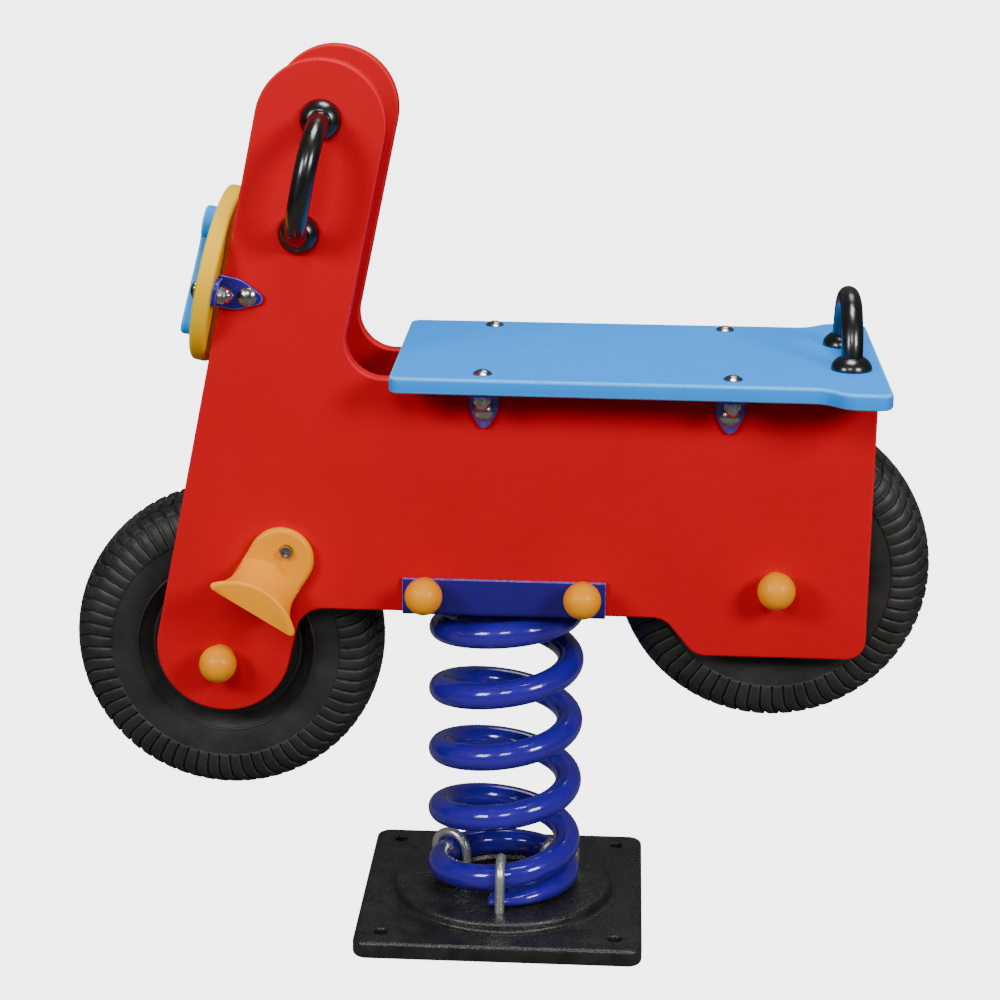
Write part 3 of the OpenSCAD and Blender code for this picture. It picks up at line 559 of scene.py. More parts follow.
# The bracket's pale violet last colour is a painted highlight along its edges and the saddle's top edge;
# the spring's and rim's last colours are rubbed paint
BRACKET = paint_finish(
    "bracket_blue", linear(36, 14, 124), linear(32, 12, 117), linear(150, 120, 215), 0.4, 0.1, 0.01
)
RIM = paint_finish("rim_black", linear(12, 12, 12), linear(18, 18, 18), linear(50, 50, 50), 0.45, 0.1)
ZINC = zinc_finish("zinc", linear(204, 202, 196), linear(150, 148, 142), 0.16, 3.5)
GALVANISED = zinc_finish("zinc", linear(236, 236, 232), linear(200, 200, 196), 0.24, 3.5, 0.8)
IRON = iron_finish()
TYRE = rubber_finish("tyre_black", 0.48)
TUBE = rubber_finish("tube_black", 0.55)
FINISHES = {
    f.slot: f
    for f in (RED, BLUE, YELLOW, ORANGE, GRIP, BUSH, SPRING, BRACKET, RIM, ZINC, IRON, TYRE, TUBE)
}


# ---------- Making pieces ----------


def link(name, mesh, finish, nodes):
    """A piece with that mesh, which stands for CAD nodes."""
    mesh.polygons.foreach_set("use_smooth", [True] * len(mesh.polygons))
    mesh.set_sharp_from_angle(angle=math.radians(SHARP_ANGLE))
    if not mesh.materials:
        mesh.materials.append(finish.material)
    o = bpy.data.objects.new(name, mesh)
    bpy.context.scene.collection.objects.link(o)
    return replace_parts(o, *nodes)


def worn_and_lit_mesh(name, form):
    """The form as a mesh in metres that carries its share of wear and painted highlight."""
    mesh = mesh_of(name, form, MM)
    wear_and_highlight = mesh.attributes.new("wear_and_highlight", "FLOAT", "POINT")
    wear_and_highlight.data.foreach_set("value", form.wear_and_highlight.astype(np.float32))
    return mesh


def piece(name, body, finish, forms, nodes=None):
    """Makes one piece of one or more forms, which stands for its own node unless others are given.

    It rides on a body, unless that is None.
    """
    o = link(name + "_look", worn_and_lit_mesh(name, joined(forms)), finish, nodes or [name])
    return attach(o, body) if body else o


# ---------- Base ----------


def base_plate():
    """The casting with its boss, recess, ground holes, and the pockets under it for the U-bolts' nuts."""
    half = BASE_HALF
    corners = [(half, half), (-half, half), (-half, -half), (half, -half)]
    square = rounded([(x, y, BASE_CORNER) for x, y in corners])
    boss = turned(rounded([
        (BOSS_FOOT_R, 5, 0), (BOSS_FOOT_R + 2, BASE_T + 0.2, 0.5), (BOSS_FOOT_R - 2.5, BASE_T + 0.4, 2.4),
        (BOSS_R + 1, BOSS_TOP, 3.6), (RECESS_R + 0.5, BOSS_TOP, 1.4), (RECESS_R - 1, RECESS_Z, 1.2),
        (8, RECESS_Z, 0),
    ], closed=False, steps=5), 144)
    ground_hole = turned([(8, BASE_T + 1), (6.6, BASE_T), (5.5, BASE_T - 1.2), (5.5, 0.5), (7, -1)], 32)
    leg_hole = turned([(11, -1), (11, 12), (4.4, 12), (4.4, BOSS_TOP + 1)], 32)
    spots = [(x, y) for x in (-GROUND_BOLT, GROUND_BOLT) for y in (-GROUND_BOLT, GROUND_BOLT)]
    holes = [ground_hole.at(shift(x, y)) for x, y in spots]
    holes += [leg_hole.at(turn("Z", a) @ shift(x)) for a in U_BOLT_ANGLES for x in u_leg_radii()]
    form = carved(board(square, BASE_T, 3.5), [boss], holes)
    radius = np.hypot(form.points[:, 0], form.points[:, 1])
    height = form.points[:, 2]
    # Grey marks along the recess rim and the boss edge: painted highlight lines, partly rubbed paint
    recess_edge = (radius < RECESS_R + 3) & (height > RECESS_Z + 1)
    boss_edge = (radius > BOSS_R - 3) & (radius < BOSS_R + 1) & (height > BOSS_TOP - 2)
    form.wear_and_highlight = 0.7 * recess_edge + 0.3 * boss_edge
    piece("base_plate", "base", IRON, [form])


def u_leg_radii():
    return [COIL_R - U_ARCH_R, COIL_R + U_ARCH_R]


def turn_at(angle):
    """Turns of rod passed by the time the coil first reaches an angle."""
    return (angle - COIL_START) % 360 / 360


def u_bolts():
    forms = []
    for angle in U_BOLT_ANGLES:
        held = rod_height(turn_at(angle) + (angle == U_BOLT_ANGLES[0])) + ROD_R
        crown = held + 0.6 + U_BOLT_R
        inner, outer = u_leg_radii()
        path = rounded([
            (inner, 2, 0), (inner, crown, U_ARCH_R - 0.01), (outer, crown, U_ARCH_R - 0.01), (outer, 2, 0)
        ], closed=False, steps=16)
        forms.append(tube([(r, 0, z) for r, z in path], U_BOLT_R, 20).at(turn("Z", angle)))
    piece("base_u_bolts", "base", GALVANISED, forms)


# ---------- Spring ----------


def coil_pitch():
    return (COIL_TOP - COIL_BOTTOM) / (COIL_TURNS - 2 * COIL_FLAT - COIL_BLEND)


def ramp(s):
    """Rise of the coil above its flat end, in pitches, after s turns."""
    u = s - COIL_FLAT
    if u <= 0:
        return 0
    return u * u / (2 * COIL_BLEND) if u < COIL_BLEND else u - COIL_BLEND / 2


def thickness(s):
    """Height of the rod, which tapers towards both tips."""
    share = min(1, min(s, COIL_TURNS - s) / COIL_TAPER)
    return COIL_TIP + (2 * ROD_R - COIL_TIP) * math.sin(share * math.pi / 2) ** 1.2


def rod_height(s):
    """Height of the rod's centre after s turns."""
    lost = (2 * ROD_R - thickness(s)) / 2
    if s < COIL_TURNS / 2:
        return COIL_BOTTOM + coil_pitch() * ramp(s) - lost
    return COIL_TOP - coil_pitch() * ramp(COIL_TURNS - s) + lost


def coil(start, end):
    """The rod between two numbers of turns, its tips rounded off."""
    round_off = 0.012
    count = int((end - start) * 80)
    turns = np.linspace(start, end, count + 1)
    near_tip = round_off * (1 - np.cos(np.linspace(0.05, math.pi / 2, 7)))
    if start == 0:
        turns = np.concatenate([near_tip, turns[2:]])
    if end == COIL_TURNS:
        turns = np.concatenate([turns[:-2], end - near_tip[::-1]])
    around = np.arange(32) * 2 * math.pi / 32
    rings = []
    for s in turns:
        near = min(1, min(s, COIL_TURNS - s) / round_off)
        shrink = 0.55 + 0.45 * math.sqrt(1 - (1 - near) ** 2)
        radius = COIL_R + ROD_R * shrink * np.cos(around)
        angle = math.radians(COIL_START + 360 * s)
        height = rod_height(s) + thickness(s) / 2 * shrink * np.sin(around)
        rings.append(np.column_stack([radius * math.cos(angle), radius * math.sin(angle), height]))
    return loft(rings, wear_and_highlight=0.12)


def spring():
    """The rod in six lengths: the bottom turn rides on the base and the top turn on the rider; the four
    lengths between ride on no body.
    """
    cuts = [0, 1.05, 2.0, 3.5, 4.35, 4.85, COIL_TURNS]
    piece("spring_bottom_turn", "base", SPRING, [coil(cuts[0], cuts[1])])
    piece("spring_top_turn", "rider", SPRING, [coil(cuts[5], cuts[6])])
    bends = [
        ("spring_lower_turns", "base", "spring_low", ["spring_lower_turns"]),
        ("spring_middle_turns", "spring_low", "spring_mid", ["spring_middle_turns"]),
        ("spring_upper_turns", "spring_mid", "spring_high", ["spring_upper_turns"]),
        ("spring_last_turn", "spring_high", "rider", ["spring_upper_turns"]),
    ]
    for (name, below, above, nodes), start, end in zip(bends, cuts[1:-2], cuts[2:-1]):
        length = piece(name, None, SPRING, [coil(start, end)], nodes)
        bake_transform(length)


# ---------- Fasteners ----------


def dome_bolt(length):
    """A domed head that stands on z = 0, with its shank below it."""
    head = turned(dome_profile(radius=7.5, height=4), 32, wear_and_highlight=0.3)
    return joined([head, tube([(0, 0, -length), (0, 0, 0.5)], 4, 16)])


def acorn_nut():
    """A chamfered hexagon with a domed end."""
    flats = 13
    corner = flats / math.sqrt(3)
    nut_h = 6.5
    base = [(hexagon(flats, corner - 0.6), 0), (hexagon(flats, corner), 0.5)]
    base += [(hexagon(flats, corner), nut_h - 1.2), (hexagon(flats, flats / 2), nut_h - 0.4)]
    base.append((circle(flats / 2 - 0.6), nut_h - 0.2))
    ball = flats / 2 - 0.8
    arc = np.linspace(0, math.pi / 2 - 0.04, 9)
    return stacked(base + [(circle(ball * math.cos(a)), nut_h + ball * math.sin(a)) for a in arc])


def plain_nut(h=6.5, flats=13):
    corner = flats / math.sqrt(3)
    levels = [(hexagon(flats, flats / 2), 0), (hexagon(flats, corner), 0.8)]
    levels += [(hexagon(flats, corner), h - 0.8), (hexagon(flats, flats / 2), h)]
    return stacked(levels + [(circle(4.2), h), (circle(4), h - 0.6)])


def ball_cap():
    """A ball on a short collar that covers a nut."""
    collar = 10.7
    from_angle = math.asin(collar / BALL_R)
    arc = np.linspace(math.pi - from_angle, 0.02, 26)
    base = [(collar - 0.5, 0), (collar, 0.5), (collar, BALL_OUT - BALL_R * math.cos(from_angle) - 0.3)]
    return turned(base + [(BALL_R * math.sin(a), BALL_OUT + BALL_R * math.cos(a)) for a in arc], 48)


def ball_caps(name, places, out):
    cap = ball_cap()
    piece(name, "rider", ORANGE, [
        cap.at(side @ shift(x, out, z) @ TO_Y) for x, z in places for side in BOTH_SIDES
    ])


# ---------- Saddle ----------


def saddle_channel():
    low = SADDLE_Z
    high = SADDLE_TOP
    profile = rounded([
        (-SADDLE_OUT, low, 5), (SADDLE_OUT, low, 5), (SADDLE_OUT, high, 1.2), (PANEL_OUT + 0.1, high, 1.2),
        (PANEL_OUT + 0.1, low + PLATE_T, 0.6), (-PANEL_OUT - 0.1, low + PLATE_T, 0.6),
        (-PANEL_OUT - 0.1, high, 1.2), (-SADDLE_OUT, high, 1.2),
    ], steps=5)
    channel = board(profile, 2 * SADDLE_HALF_L, 0.7, 0.05).at(plate_yz(-SADDLE_HALF_L))
    # A painted highlight line along the channel's top edges
    channel.wear_and_highlight[channel.points[:, 2] > high - 0.8] = 1
    piece("saddle_channel", "rider", BRACKET, [channel])


# ---------- Panels ----------


def panel_outline():
    top = NECK_TOP + NECK_R * LEAN_UP
    foot = FRONT_FOOT - FRONT_FOOT_R * LEAN_UP
    neck_back = NECK_TOP + NECK_R * LEAN_BACK
    neck_root = neck_back + (SEAT_Z - neck_back.y) / LEAN_UP.y * LEAN_UP
    round_top = NECK_R - 0.5
    round_foot = FRONT_FOOT_R - 0.5
    corners = [
        (*(top - NECK_R * LEAN_BACK), round_top), (*(foot - FRONT_FOOT_R * LEAN_BACK), round_foot),
        (*(foot + FRONT_FOOT_R * LEAN_BACK), round_foot), (-164, 280, 24), (128, 280, 20), (154, 249, 20),
        (290, 249, 16), (290, SEAT_Z, 4), (*neck_root, 30), (*(top + NECK_R * LEAN_BACK), round_top),
    ]
    return rounded(corners, steps=16)


def side_panels():
    panel = board(panel_outline(), PANEL_OUT - PANEL_IN, PANEL_EDGE).at(plate_xz(PANEL_OUT))
    piece("right_side_panel", "rider", RED, [panel])
    piece("left_side_panel", "rider", RED, [panel.at(MIRROR_Y)])


# ---------- Seat ----------


def seat_board():
    corners = [(-89, 110, 9), (243, 113, 20), (261, 131, 20), (295, 131, 10)]
    right = [(x, -y, r) for x, y, r in corners]
    outline = rounded(right + corners[::-1], steps=10)
    piece("seat_board", "rider", BLUE, [board(outline, SEAT_T, 2.8).at(shift(z=SEAT_Z))])


def taper(corners):
    """A bar's half widths near its tip: distances from the tip, and the widths there.

    The corners (x, y, radius) run up one side of the bar to its tip.
    """
    mirrored = [(-x, y, radius) for x, y, radius in corners[-2::-1]]
    outline = np.array(rounded(corners + mirrored, closed=False, steps=10))
    side = outline[outline[:, 0] > -0.001][::-1]
    return side[:, 1] - side[0, 1], np.maximum(side[:, 0], 0.1)


def strap(path, thick, near, far):
    """A flat bar bent along a path in Y and Z. Its half widths in X are those of its two tapers."""
    path = np.asarray(path, float)
    run = np.concatenate([[0], np.cumsum(np.linalg.norm(np.diff(path, axis=0), axis=1))])

    def point(distance):
        return np.array([np.interp(distance, run, path[:, k]) for k in (0, 1)])

    stations = np.concatenate([near[0], run[1:-1], run[-1] - far[0]])
    edge = 0.7
    step = 0.5
    rings = []
    for s in np.unique(np.round(stations, 3)):
        w = min(np.interp(s, *near), np.interp(run[-1] - s, *far))
        here = point(s)
        ahead = point(s + step) - point(s - step)
        ahead /= np.linalg.norm(ahead)
        out = np.array([-ahead[1], ahead[0]])
        side = min(edge, w / 2)
        ring = rounded([
            (w, thick / 2, side), (-w, thick / 2, side), (-w, -thick / 2, side), (w, -thick / 2, side)
        ], steps=3)
        rings.append([(x, *(here + out * t)) for x, t in ring])
    return loft(rings, wear_and_highlight=0.35)


def seat_fittings():
    """The four L brackets and what fastens them to the seat and to the panels."""
    middle = PLATE_T / 2
    w = BRACKET_HALF_W
    foot = BRACKET_BOLT_Z - 13.5
    path = rounded([
        (PANEL_OUT + middle, foot, 0), (PANEL_OUT + middle, SEAT_Z - middle, 5),
        (BRACKET_REACH, SEAT_Z - middle, 0),
    ], closed=False, steps=6)
    ogive = taper([(w, 25, 0), (w, 19, 30), (0, 0, 5)])
    half_round = taper([(w, w + 1, 0), (w, 0, w - 0.1), (0, 0, 0)])
    bracket = strap(path, PLATE_T, ogive, half_round)
    brackets, bolts, nuts, panel_bolts, panel_nuts = [], [], [], [], []
    for x, y in SEAT_BOLTS:
        side = BOTH_SIDES[y < 0] @ shift(x)
        brackets.append(bracket.at(side))
        bolts.append(dome_bolt(SEAT_T + 11).at(shift(x, y, SEAT_TOP)))
        nuts.append(acorn_nut().at(shift(x, y, SEAT_Z - PLATE_T) @ turn("X", 180)))
        head = side @ shift(0, PANEL_OUT + PLATE_T, BRACKET_BOLT_Z) @ TO_Y
        panel_bolts.append(dome_bolt(PANEL_BOLT_L).at(head))
        panel_nuts.append(plain_nut().at(side @ shift(0, PANEL_IN, BRACKET_BOLT_Z) @ turn("X", 90)))
    piece("seat_brackets", "rider", BRACKET, brackets)
    piece("seat_bolts", "rider", ZINC, bolts)
    piece("seat_acorn_nuts", "rider", ZINC, nuts)
    piece("seat_bracket_bolts", "rider", ZINC, panel_bolts)
    piece("seat_bracket_nuts", "rider", ZINC, panel_nuts)


# ---------- Headlight ----------


def headlight():
    place = front_edge()
    front = -PLATE_T - HEADLIGHT_T
    oval = circle(1, 120) * HEADLIGHT_HALF
    piece("headlight_board", "rider", YELLOW, [board(oval, HEADLIGHT_T, 3.6).at(place @ plate_yz(front))])
    head_z = 38.5
    head_r = 13.5
    head = board(circle(head_r, 64) + (0, head_z), EMBLEM_T, 2.6)
    bell = board(rounded([
        (5, head_z, 0), (-5, head_z, 0), (-7, 15, 14), (-34, -50, 9), (34, -50, 9), (7, 15, 14)
    ], steps=8), EMBLEM_T, 2.6)
    emblem = [form.at(place @ plate_yz(front - EMBLEM_T)) for form in (head, bell)]
    piece("headlight_emblem", "rider", BLUE, emblem)
    tongue = board(rounded([
        (-PLATE_T, -TONGUE_HALF_W, 2), (14, -TONGUE_HALF_W, 22), (40, 0, 5), (14, TONGUE_HALF_W, 22),
        (-PLATE_T, TONGUE_HALF_W, 2),
    ]), PLATE_T, 0.8).at(plate_xz(PANEL_OUT + PLATE_T))
    leg_end = HEADLIGHT_HALF[0] - 1
    leg_half = TONGUE_HALF_W - 2
    leg = board(rounded([
        (PANEL_OUT + 0.2, -leg_half, 2), (leg_end, -leg_half, 8), (leg_end, leg_half, 8),
        (PANEL_OUT + 0.2, leg_half, 2),
    ]), PLATE_T, 0.8).at(plate_yz(-PLATE_T))
    for side, name in zip(BOTH_SIDES, ("right_headlight_bracket", "left_headlight_bracket")):
        piece(name, "rider", BRACKET, [tongue.at(side @ place), leg.at(side @ place)])
    bolts, nuts, panel_bolts, panel_nuts = [], [], [], []
    for side in BOTH_SIDES:
        bolt = side @ place @ shift(front, HEADLIGHT_BOLT_Y) @ turn("Y", -90)
        bolts.append(dome_bolt(HEADLIGHT_T + 10.5).at(bolt))
        nuts.append(acorn_nut().at(side @ place @ shift(0, HEADLIGHT_BOLT_Y) @ turn("Y", 90)))
        head = side @ place @ shift(TONGUE_BOLT, PANEL_OUT + PLATE_T) @ TO_Y
        panel_bolts.append(dome_bolt(PANEL_BOLT_L).at(head))
        panel_nuts.append(plain_nut().at(side @ place @ shift(TONGUE_BOLT, PANEL_IN) @ turn("X", 90)))
    piece("headlight_bolts", "rider", ZINC, bolts)
    piece("headlight_acorn_nuts", "rider", ZINC, nuts)
    piece("headlight_bracket_bolts", "rider", ZINC, panel_bolts)
    piece("headlight_bracket_nuts", "rider", ZINC, panel_nuts)


# ---------- Grab handles ----------


def grab_handle():
    """A bent grip along X on two domed feet, standing on z = 0."""
    path = rounded([
        (-HANDLE_HALF, 3, 0), (-HANDLE_HALF, HANDLE_REACH, HANDLE_ELBOW),
        (HANDLE_HALF, HANDLE_REACH, HANDLE_ELBOW), (HANDLE_HALF, 3, 0),
    ], closed=False, steps=18)
    grip = tube([(x, 0, z) for x, z in path], GRIP_R, 32)
    neck = GRIP_R + 0.7
    top = math.acos(neck / HANDLE_FOOT_R)
    rise = HANDLE_FOOT_H / math.sin(top)
    arc = np.linspace(0.06, top, 14)
    profile = [(HANDLE_FOOT_R - 0.4, 0)] + [(HANDLE_FOOT_R * math.cos(a), rise * math.sin(a)) for a in arc]
    foot = turned(profile + [(GRIP_R + 0.2, HANDLE_FOOT_H + 0.1), (GRIP_R - 0.4, HANDLE_FOOT_H - 0.6)], 48)
    return joined([grip] + [foot.at(shift(x)) for x in (-HANDLE_HALF, HANDLE_HALF)])


def grab_handles():
    handle = grab_handle()
    middle = on_neck(HANDLE_HALF - 4.5)
    place = shift(middle.x, PANEL_OUT, middle.y) @ turn("Y", NECK_LEAN - 90) @ TO_Y
    piece("right_grab_handle", "rider", GRIP, [handle.at(place)])
    piece("left_grab_handle", "rider", GRIP, [handle.at(MIRROR_Y @ place)])
    piece("seat_grab_handle", "rider", GRIP, [handle.at(shift(SEAT_HANDLE_X, 0, SEAT_TOP) @ turn("Z", 90))])


# ---------- Footrests ----------


def arched_section(half_chord, side, crown, tip=2.0):
    """A slice with a flat lower edge, upright sides and an arc up to the crown.

    Its lower corners are softened over the length of the tip.
    """
    rise = crown - side
    radius = (half_chord**2 + rise**2) / (2 * rise)
    arc = np.linspace(math.asin(min(1, half_chord / radius)), 0, 40)
    curve = np.column_stack([radius * np.sin(arc), crown - radius + radius * np.cos(arc)])
    skin = np.vstack([(half_chord, 0), curve])
    run = np.concatenate([[0], np.cumsum(np.linalg.norm(np.diff(skin, axis=0), axis=1))])
    upper = [tuple(np.interp(d, run, skin[:, k]) for k in (0, 1)) for d in np.linspace(tip, run[-1], 24)]
    lower = [(x, 0.0) for x in np.linspace(0, half_chord - tip, 7)]
    start, corner, end = (np.array(at) for at in (lower[-1], (half_chord, 0.0), upper[0]))
    shares = np.linspace(0, 1, 7)[1:-1]
    soft = [tuple((1 - t) ** 2 * start + 2 * t * (1 - t) * corner + t * t * end) for t in shares]
    right = lower + soft + upper
    return right + [(-x, z) for x, z in right[-2:0:-1]]


def footrest():
    """The +Y footrest, in its own frame: a round-topped flange and a peg out to an arched lip."""
    flange = board(rounded([
        (25, -FOOTREST_DROP, 5), (27, 27, 26), (-27, 27, 26), (-25, -FOOTREST_DROP, 5)
    ], steps=16), FOOTREST_PLATE_T, 4).at(plate_xz(FOOTREST_PLATE_T))
    lip_r = 2.5
    lip_from = FOOTREST_REACH - lip_r
    start = FOOTREST_PLATE_T - 5
    rings = []

    def add(y, half_chord, side, crown):
        rings.append([(x, y, z - FOOTREST_DROP) for x, z in arched_section(half_chord, side, crown)])

    for u in np.linspace(0, 1, 30):
        half_chord = 26 - 1.8 * math.sin(math.pi * u) + 12.2 * u**2.4
        add(start + (lip_from - start) * u, half_chord, 3.5 + 20 * (1 - u) ** 1.4, 21 + 12 * (1 - u) ** 1.9)
    for a in np.linspace(0, math.pi / 2, 7)[1:]:
        back = lip_r * (1 - math.cos(a))
        add(lip_from + lip_r * math.sin(a), 38.2 - 1.2 * back, 3.5 - back, 21 - back)
    hole = turned([(6, FOOTREST_PLATE_T - FOOTREST_SINK), (6, 60)], 40).at(shift(z=FOOTREST_BOLT_UP) @ TO_Y)
    return carved(flange, [loft(rings)], [hole])


def socket_bolt():
    """A cap head with a hexagonal socket, standing on z = 0."""
    head_r = 5
    head_h = 6
    key = hexagon(5, 9)
    levels = [(circle(head_r - 0.3), 0), (circle(head_r), 0.4), (circle(head_r), head_h - 0.7)]
    levels += [(circle(head_r - 0.2), head_h - 0.2), (circle(head_r - 0.7), head_h), (key * 1.08, head_h)]
    return stacked(levels + [(key, head_h - 0.4), (key, head_h - 3)])


def footrests():
    x, z = FOOTREST_AT
    place = shift(x, PANEL_OUT, z) @ turn("Y", FOOTREST_TURN)
    peg = footrest()
    seat = place @ shift(0, FOOTREST_PLATE_T - FOOTREST_SINK, FOOTREST_BOLT_UP) @ TO_Y
    piece("right_footrest", "rider", ORANGE, [peg.at(place)])
    piece("left_footrest", "rider", ORANGE, [peg.at(MIRROR_Y @ place)])
    shank = tube([(0, 0, PANEL_IN - PANEL_OUT - 8), (0, 0, 0.5)], 3, 16)
    bolts = [form.at(side @ seat) for side in BOTH_SIDES for form in (socket_bolt(), shank)]
    piece("footrest_bolts", "rider", ZINC, bolts)


# ---------- Wheels ----------


def tyre_section():
    """The tyre's outer line on one side: distances along it, and the radius and half width there."""
    angles = np.radians(np.linspace(90, -50, 400))
    radius = TYRE_OVAL_R + (TYRE_R - TYRE_OVAL_R) * np.sign(np.sin(angles)) * np.abs(np.sin(angles)) ** 0.8
    half_w = TYRE_HALF_W * np.cos(angles) ** 0.8
    radius = np.append(radius, BEAD_R)
    half_w = np.append(half_w, BEAD_HALF_W)
    run = np.concatenate([[0], np.cumsum(np.hypot(np.diff(radius), np.diff(half_w)))])
    return run, radius, half_w


def tyre_rings():
    """Rings on one side of the tyre's skin, and where the lugs end.

    A ring is (distance along the skin from the crown, depth under it, share of the slots' depth).
    """
    run, radius, half_w = tyre_section()
    sidewall = 1.3

    def at_radius(r):
        return float(np.interp(-r, -radius, run))

    lug_end = at_radius(94)
    rings = [(0, 0, 0.4), (6.5, 0, 0.4)]
    for groove, deep in ((8.4, 2.4), (21.2, 2.2), (33, 0.5)):
        edges = [(-1.8, 0), (-1.1, deep), (1.1, deep), (1.8, 0), (6, 0)]
        rings += [(groove + e, depth, 1) for e, depth in edges]
    rings += [(d, 0, 1) for d in np.linspace(41, lug_end - 3, 9)]
    ends = [(-0.8, 0.1, 0.9), (0, 0.5, 0.3), (0.7, sidewall, 0), (1.6, sidewall, 0)]
    rings += [(lug_end + e, depth, cut) for e, depth, cut in ends]
    for line, high in ((72, 0.8), (60, 1.0)):
        rings.append((at_radius(line + 7), sidewall, 0))
        ridge = [(-1.3, 0), (-0.6, high), (0.6, high), (1.3, 0)]
        rings += [(at_radius(line) + e, sidewall - h, 0) for e, h in ridge]
    rings += [(at_radius(56), sidewall, 0), (run[-1] - 1.5, 0.5, 0), (run[-1], 0, 0)]
    return rings, lug_end


def tyre():
    """A tyre about Z with slotted shoulder lugs and zigzag crown grooves, which the grid follows."""
    run, radius, half_w = tyre_section()
    rings, lug_end = tyre_rings()
    slot_depth = 2.9
    # One lug: share of its pitch, and share of the slot's depth there
    columns = [(0, 0.13), (0.05, 1), (0.22, 1), (0.27, 0.13), (0.33, 0), (0.62, 0), (0.94, 0)]
    phase = np.array([lug + at for lug in range(LUGS) for at, cut in columns])
    slot = np.array([cut for at, cut in columns] * LUGS)
    zigzag = np.abs((phase + 0.1) % 1 * 2 - 1) * 2 - 1
    sides = []
    wear_and_highlight = []
    for way in (1, -1):
        rows = []
        for distance, groove, cut in rings:
            swing = 1.5 * max(0, 1 - abs(distance - 18) / 18)
            d = distance + swing * zigzag
            depth = np.maximum(groove, slot_depth * slot * cut)
            slope_r = np.interp(d + 0.5, run, radius) - np.interp(d - 0.5, run, radius)
            slope_w = np.interp(d + 0.5, run, half_w) - np.interp(d - 0.5, run, half_w)
            length = np.hypot(slope_r, slope_w)
            r = np.interp(d, run, radius) - depth * slope_w / length
            w = np.interp(d, run, half_w) + depth * slope_r / length
            hook = np.interp(distance, [0, 8, 21, 33, 39, 50], [0.1, 0.1, -0.15, 0.3, 0.52, 0.6])
            angle = (phase + hook) * 2 * math.pi / LUGS
            rows.append(np.column_stack([r * np.cos(angle), r * np.sin(angle), way * w]))
            # The slot edges on the lugs carry the tyre's pale painted highlight
            on_edge = (slot > 0) & (slot < 1) & (34 < distance < lug_end - 0.5)
            wear_and_highlight.append(np.where(on_edge, 0.9, 0.0))
        sides.append(rows)
    inner = [(BEAD_R, BEAD_HALF_W - 7), (64, 27), (80, 33), (100, 33), (115, 22), (119.5, 0)]
    angle = (phase + 0.75) * 2 * math.pi / LUGS
    lining = inner + [(r, -w) for r, w in inner[-2::-1]]
    around = np.column_stack([np.cos(angle), np.sin(angle)])
    lining = [np.column_stack([r * around, np.full(len(phase), w)]) for r, w in lining]
    form = loft(sides[1][:0:-1] + sides[0] + lining, closed=True)
    one_side = len(rings)
    shown = np.concatenate(wear_and_highlight[one_side + 1:][::-1] + wear_and_highlight[:one_side])
    form.wear_and_highlight[: len(shown)] = shown
    return form


def rim_profile():
    sheet = 2.5
    seat_from = BEAD_HALF_W - 13
    flange = 57.5
    seat = BEAD_R - 0.3
    out = BEAD_HALF_W + 1
    return rounded([
        (16.3, 1.5, 0.4), (38, 1.5, 2), (43, 0.1, 0.8), (45.5, 0.1, 0.6), (45.5, seat_from - 2, 2),
        (seat, seat_from, 2), (seat, out, 2.5), (flange, out, 1.0), (flange, out + sheet, 1.2),
        (seat - sheet, out + sheet, 3), (seat - sheet, seat_from + sheet, 3), (43, seat_from, 3),
        (42, 4, 2), (16.3, 4, 0.4),
    ], steps=4)


def wheels():
    """Both wheels share their meshes."""
    half = turned(rim_profile(), 96, closed=True, wear_and_highlight=0.2)
    rim_halves = joined([half, half.at(Matrix.Scale(-1, 4, (0, 0, 1)))])
    meshes = [worn_and_lit_mesh("tyre", tyre()), worn_and_lit_mesh("rim_halves", rim_halves)]
    for wheel, (x, z) in AXLES.items():
        for mesh, part, finish in zip(meshes, ("tyre", "rim_halves"), (TYRE, RIM)):
            o = link(f"{wheel}_{part}_look", mesh, finish, [f"{wheel}_{part}"])
            o.matrix_world = Matrix.Translation((x * MM, 0, z * MM)) @ TO_Y
            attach(o, wheel + "_wheel")


# ---------- The whole object ----------

base_plate()
u_bolts()
spring()
saddle_channel()
ball_caps("saddle_ball_caps", SADDLE_BOLTS, SADDLE_OUT)
ball_caps("front_axle_ball_caps", [AXLES["front"]], PANEL_OUT)
ball_caps("rear_axle_ball_caps", [AXLES["rear"]], PANEL_OUT)
side_panels()
seat_board()
seat_fittings()
headlight()
grab_handles()
footrests()
wheels()

# The CAD nodes that stay take their record slot's finish
slots = {s["node"]: s["material_slot"] for s in frame["record"]["subparts"]}
for name, node in frame["nodes"].items():
    for place in node.material_slots:
        place.material = FINISHES[slots[name]].material

# ---------- Studio ----------

BACKDROP_GLOW = 4.5
SKY_LIGHT = 0.09


def finish_floor():
    """A matte floor that looks nearly white and throws little light back up."""
    f = Finish("floor", Specular_IOR_Level=0.0, Emission_Strength=1.0)
    mottle = f.spread(f.noise(900, 2), 0, 1)
    f.colour(f.mixed(mottle, (0.16, 0.16, 0.16, 1), (0.15, 0.15, 0.15, 1)))
    f.roughness(f.spread(f.noise(300, 2), 0.8, 0.95))
    seen = f.node("ShaderNodeLightPath").outputs["Is Camera Ray"]
    glow = f.mixed(seen, (0, 0, 0, 1), (BACKDROP_GLOW, BACKDROP_GLOW, BACKDROP_GLOW, 1))
    f.tree.links.new(glow, f.shader.inputs["Emission Color"])
    return f


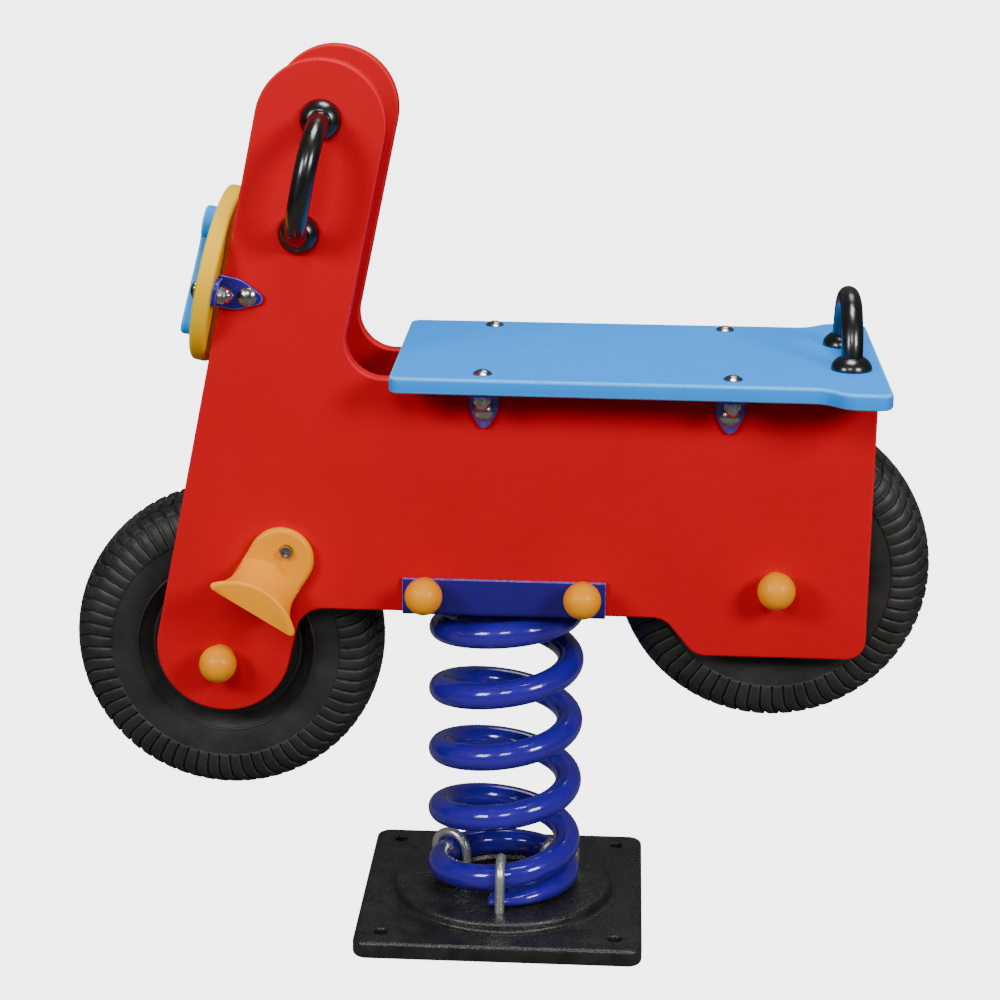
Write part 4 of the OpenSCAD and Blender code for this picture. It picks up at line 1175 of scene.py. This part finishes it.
def studio():
    mesh = bpy.data.meshes.new("floor")
    reach = 30
    corners = [(-reach, -reach, 0), (reach, -reach, 0), (reach, reach, 0), (-reach, reach, 0)]
    mesh.from_pydata(corners, [], [(0, 1, 2, 3)])
    mesh.materials.append(finish_floor().material)
    floor = bpy.data.objects.new("floor", mesh)
    bpy.context.scene.collection.objects.link(floor)
    world = bpy.data.worlds.new("studio")
    world.use_nodes = True
    # The sky is dim as a light, but looks like the floor
    nodes = world.node_tree.nodes
    strength = nodes.new("ShaderNodeMath")
    strength.operation = "MULTIPLY_ADD"
    strength.inputs[1].default_value = BACKDROP_GLOW
    strength.inputs[2].default_value = SKY_LIGHT
    links = world.node_tree.links
    links.new(nodes.new("ShaderNodeLightPath").outputs["Is Camera Ray"], strength.inputs[0])
    links.new(strength.outputs[0], nodes["Background"].inputs["Strength"])
    nodes["Background"].inputs["Color"].default_value = (0.98, 0.99, 1.0, 1)
    bpy.context.scene.world = world
    lamps = [
        ("left_softbox", (-1.2, -1.35, 1.25), 0.55, 19), ("right_softbox", (1.25, -1.35, 1.25), 0.55, 24),
        ("front_softbox", (-0.3, -2.6, 2.1), 0.7, 22), ("top_softbox", (0.2, -0.1, 2.4), 0.8, 36),
        ("back_softbox", (0.3, 1.6, 2.6), 0.9, 10),
    ]
    for name, place, size, power in lamps:
        light = bpy.data.lights.new(name, "AREA")
        light.shape = "SQUARE"
        light.size = size
        light.energy = power
        lamp = bpy.data.objects.new(name, light)
        lamp.location = place
        lamp.rotation_euler = (Vector((0, 0, 0.38)) - Vector(place)).to_track_quat("-Z", "Y").to_euler()
        bpy.context.scene.collection.objects.link(lamp)


def camera():
    lens = bpy.data.cameras.new("camera")
    lens.lens = 92.38
    lens.sensor_width = 36
    view = bpy.data.objects.new("camera", lens)
    right = Vector((0.9987, 0.0504, 0.0122))
    up = Vector((-0.0255, 0.2715, 0.9621))
    ahead = Vector((-0.0452, 0.9611, -0.2724))
    rotation = Matrix((right, up, -ahead)).transposed()
    view.matrix_world = Matrix.Translation((0.0878, -2.0165, 0.9293)) @ rotation.to_4x4()
    bpy.context.scene.collection.objects.link(view)
    bpy.context.scene.camera = view


studio()
camera()
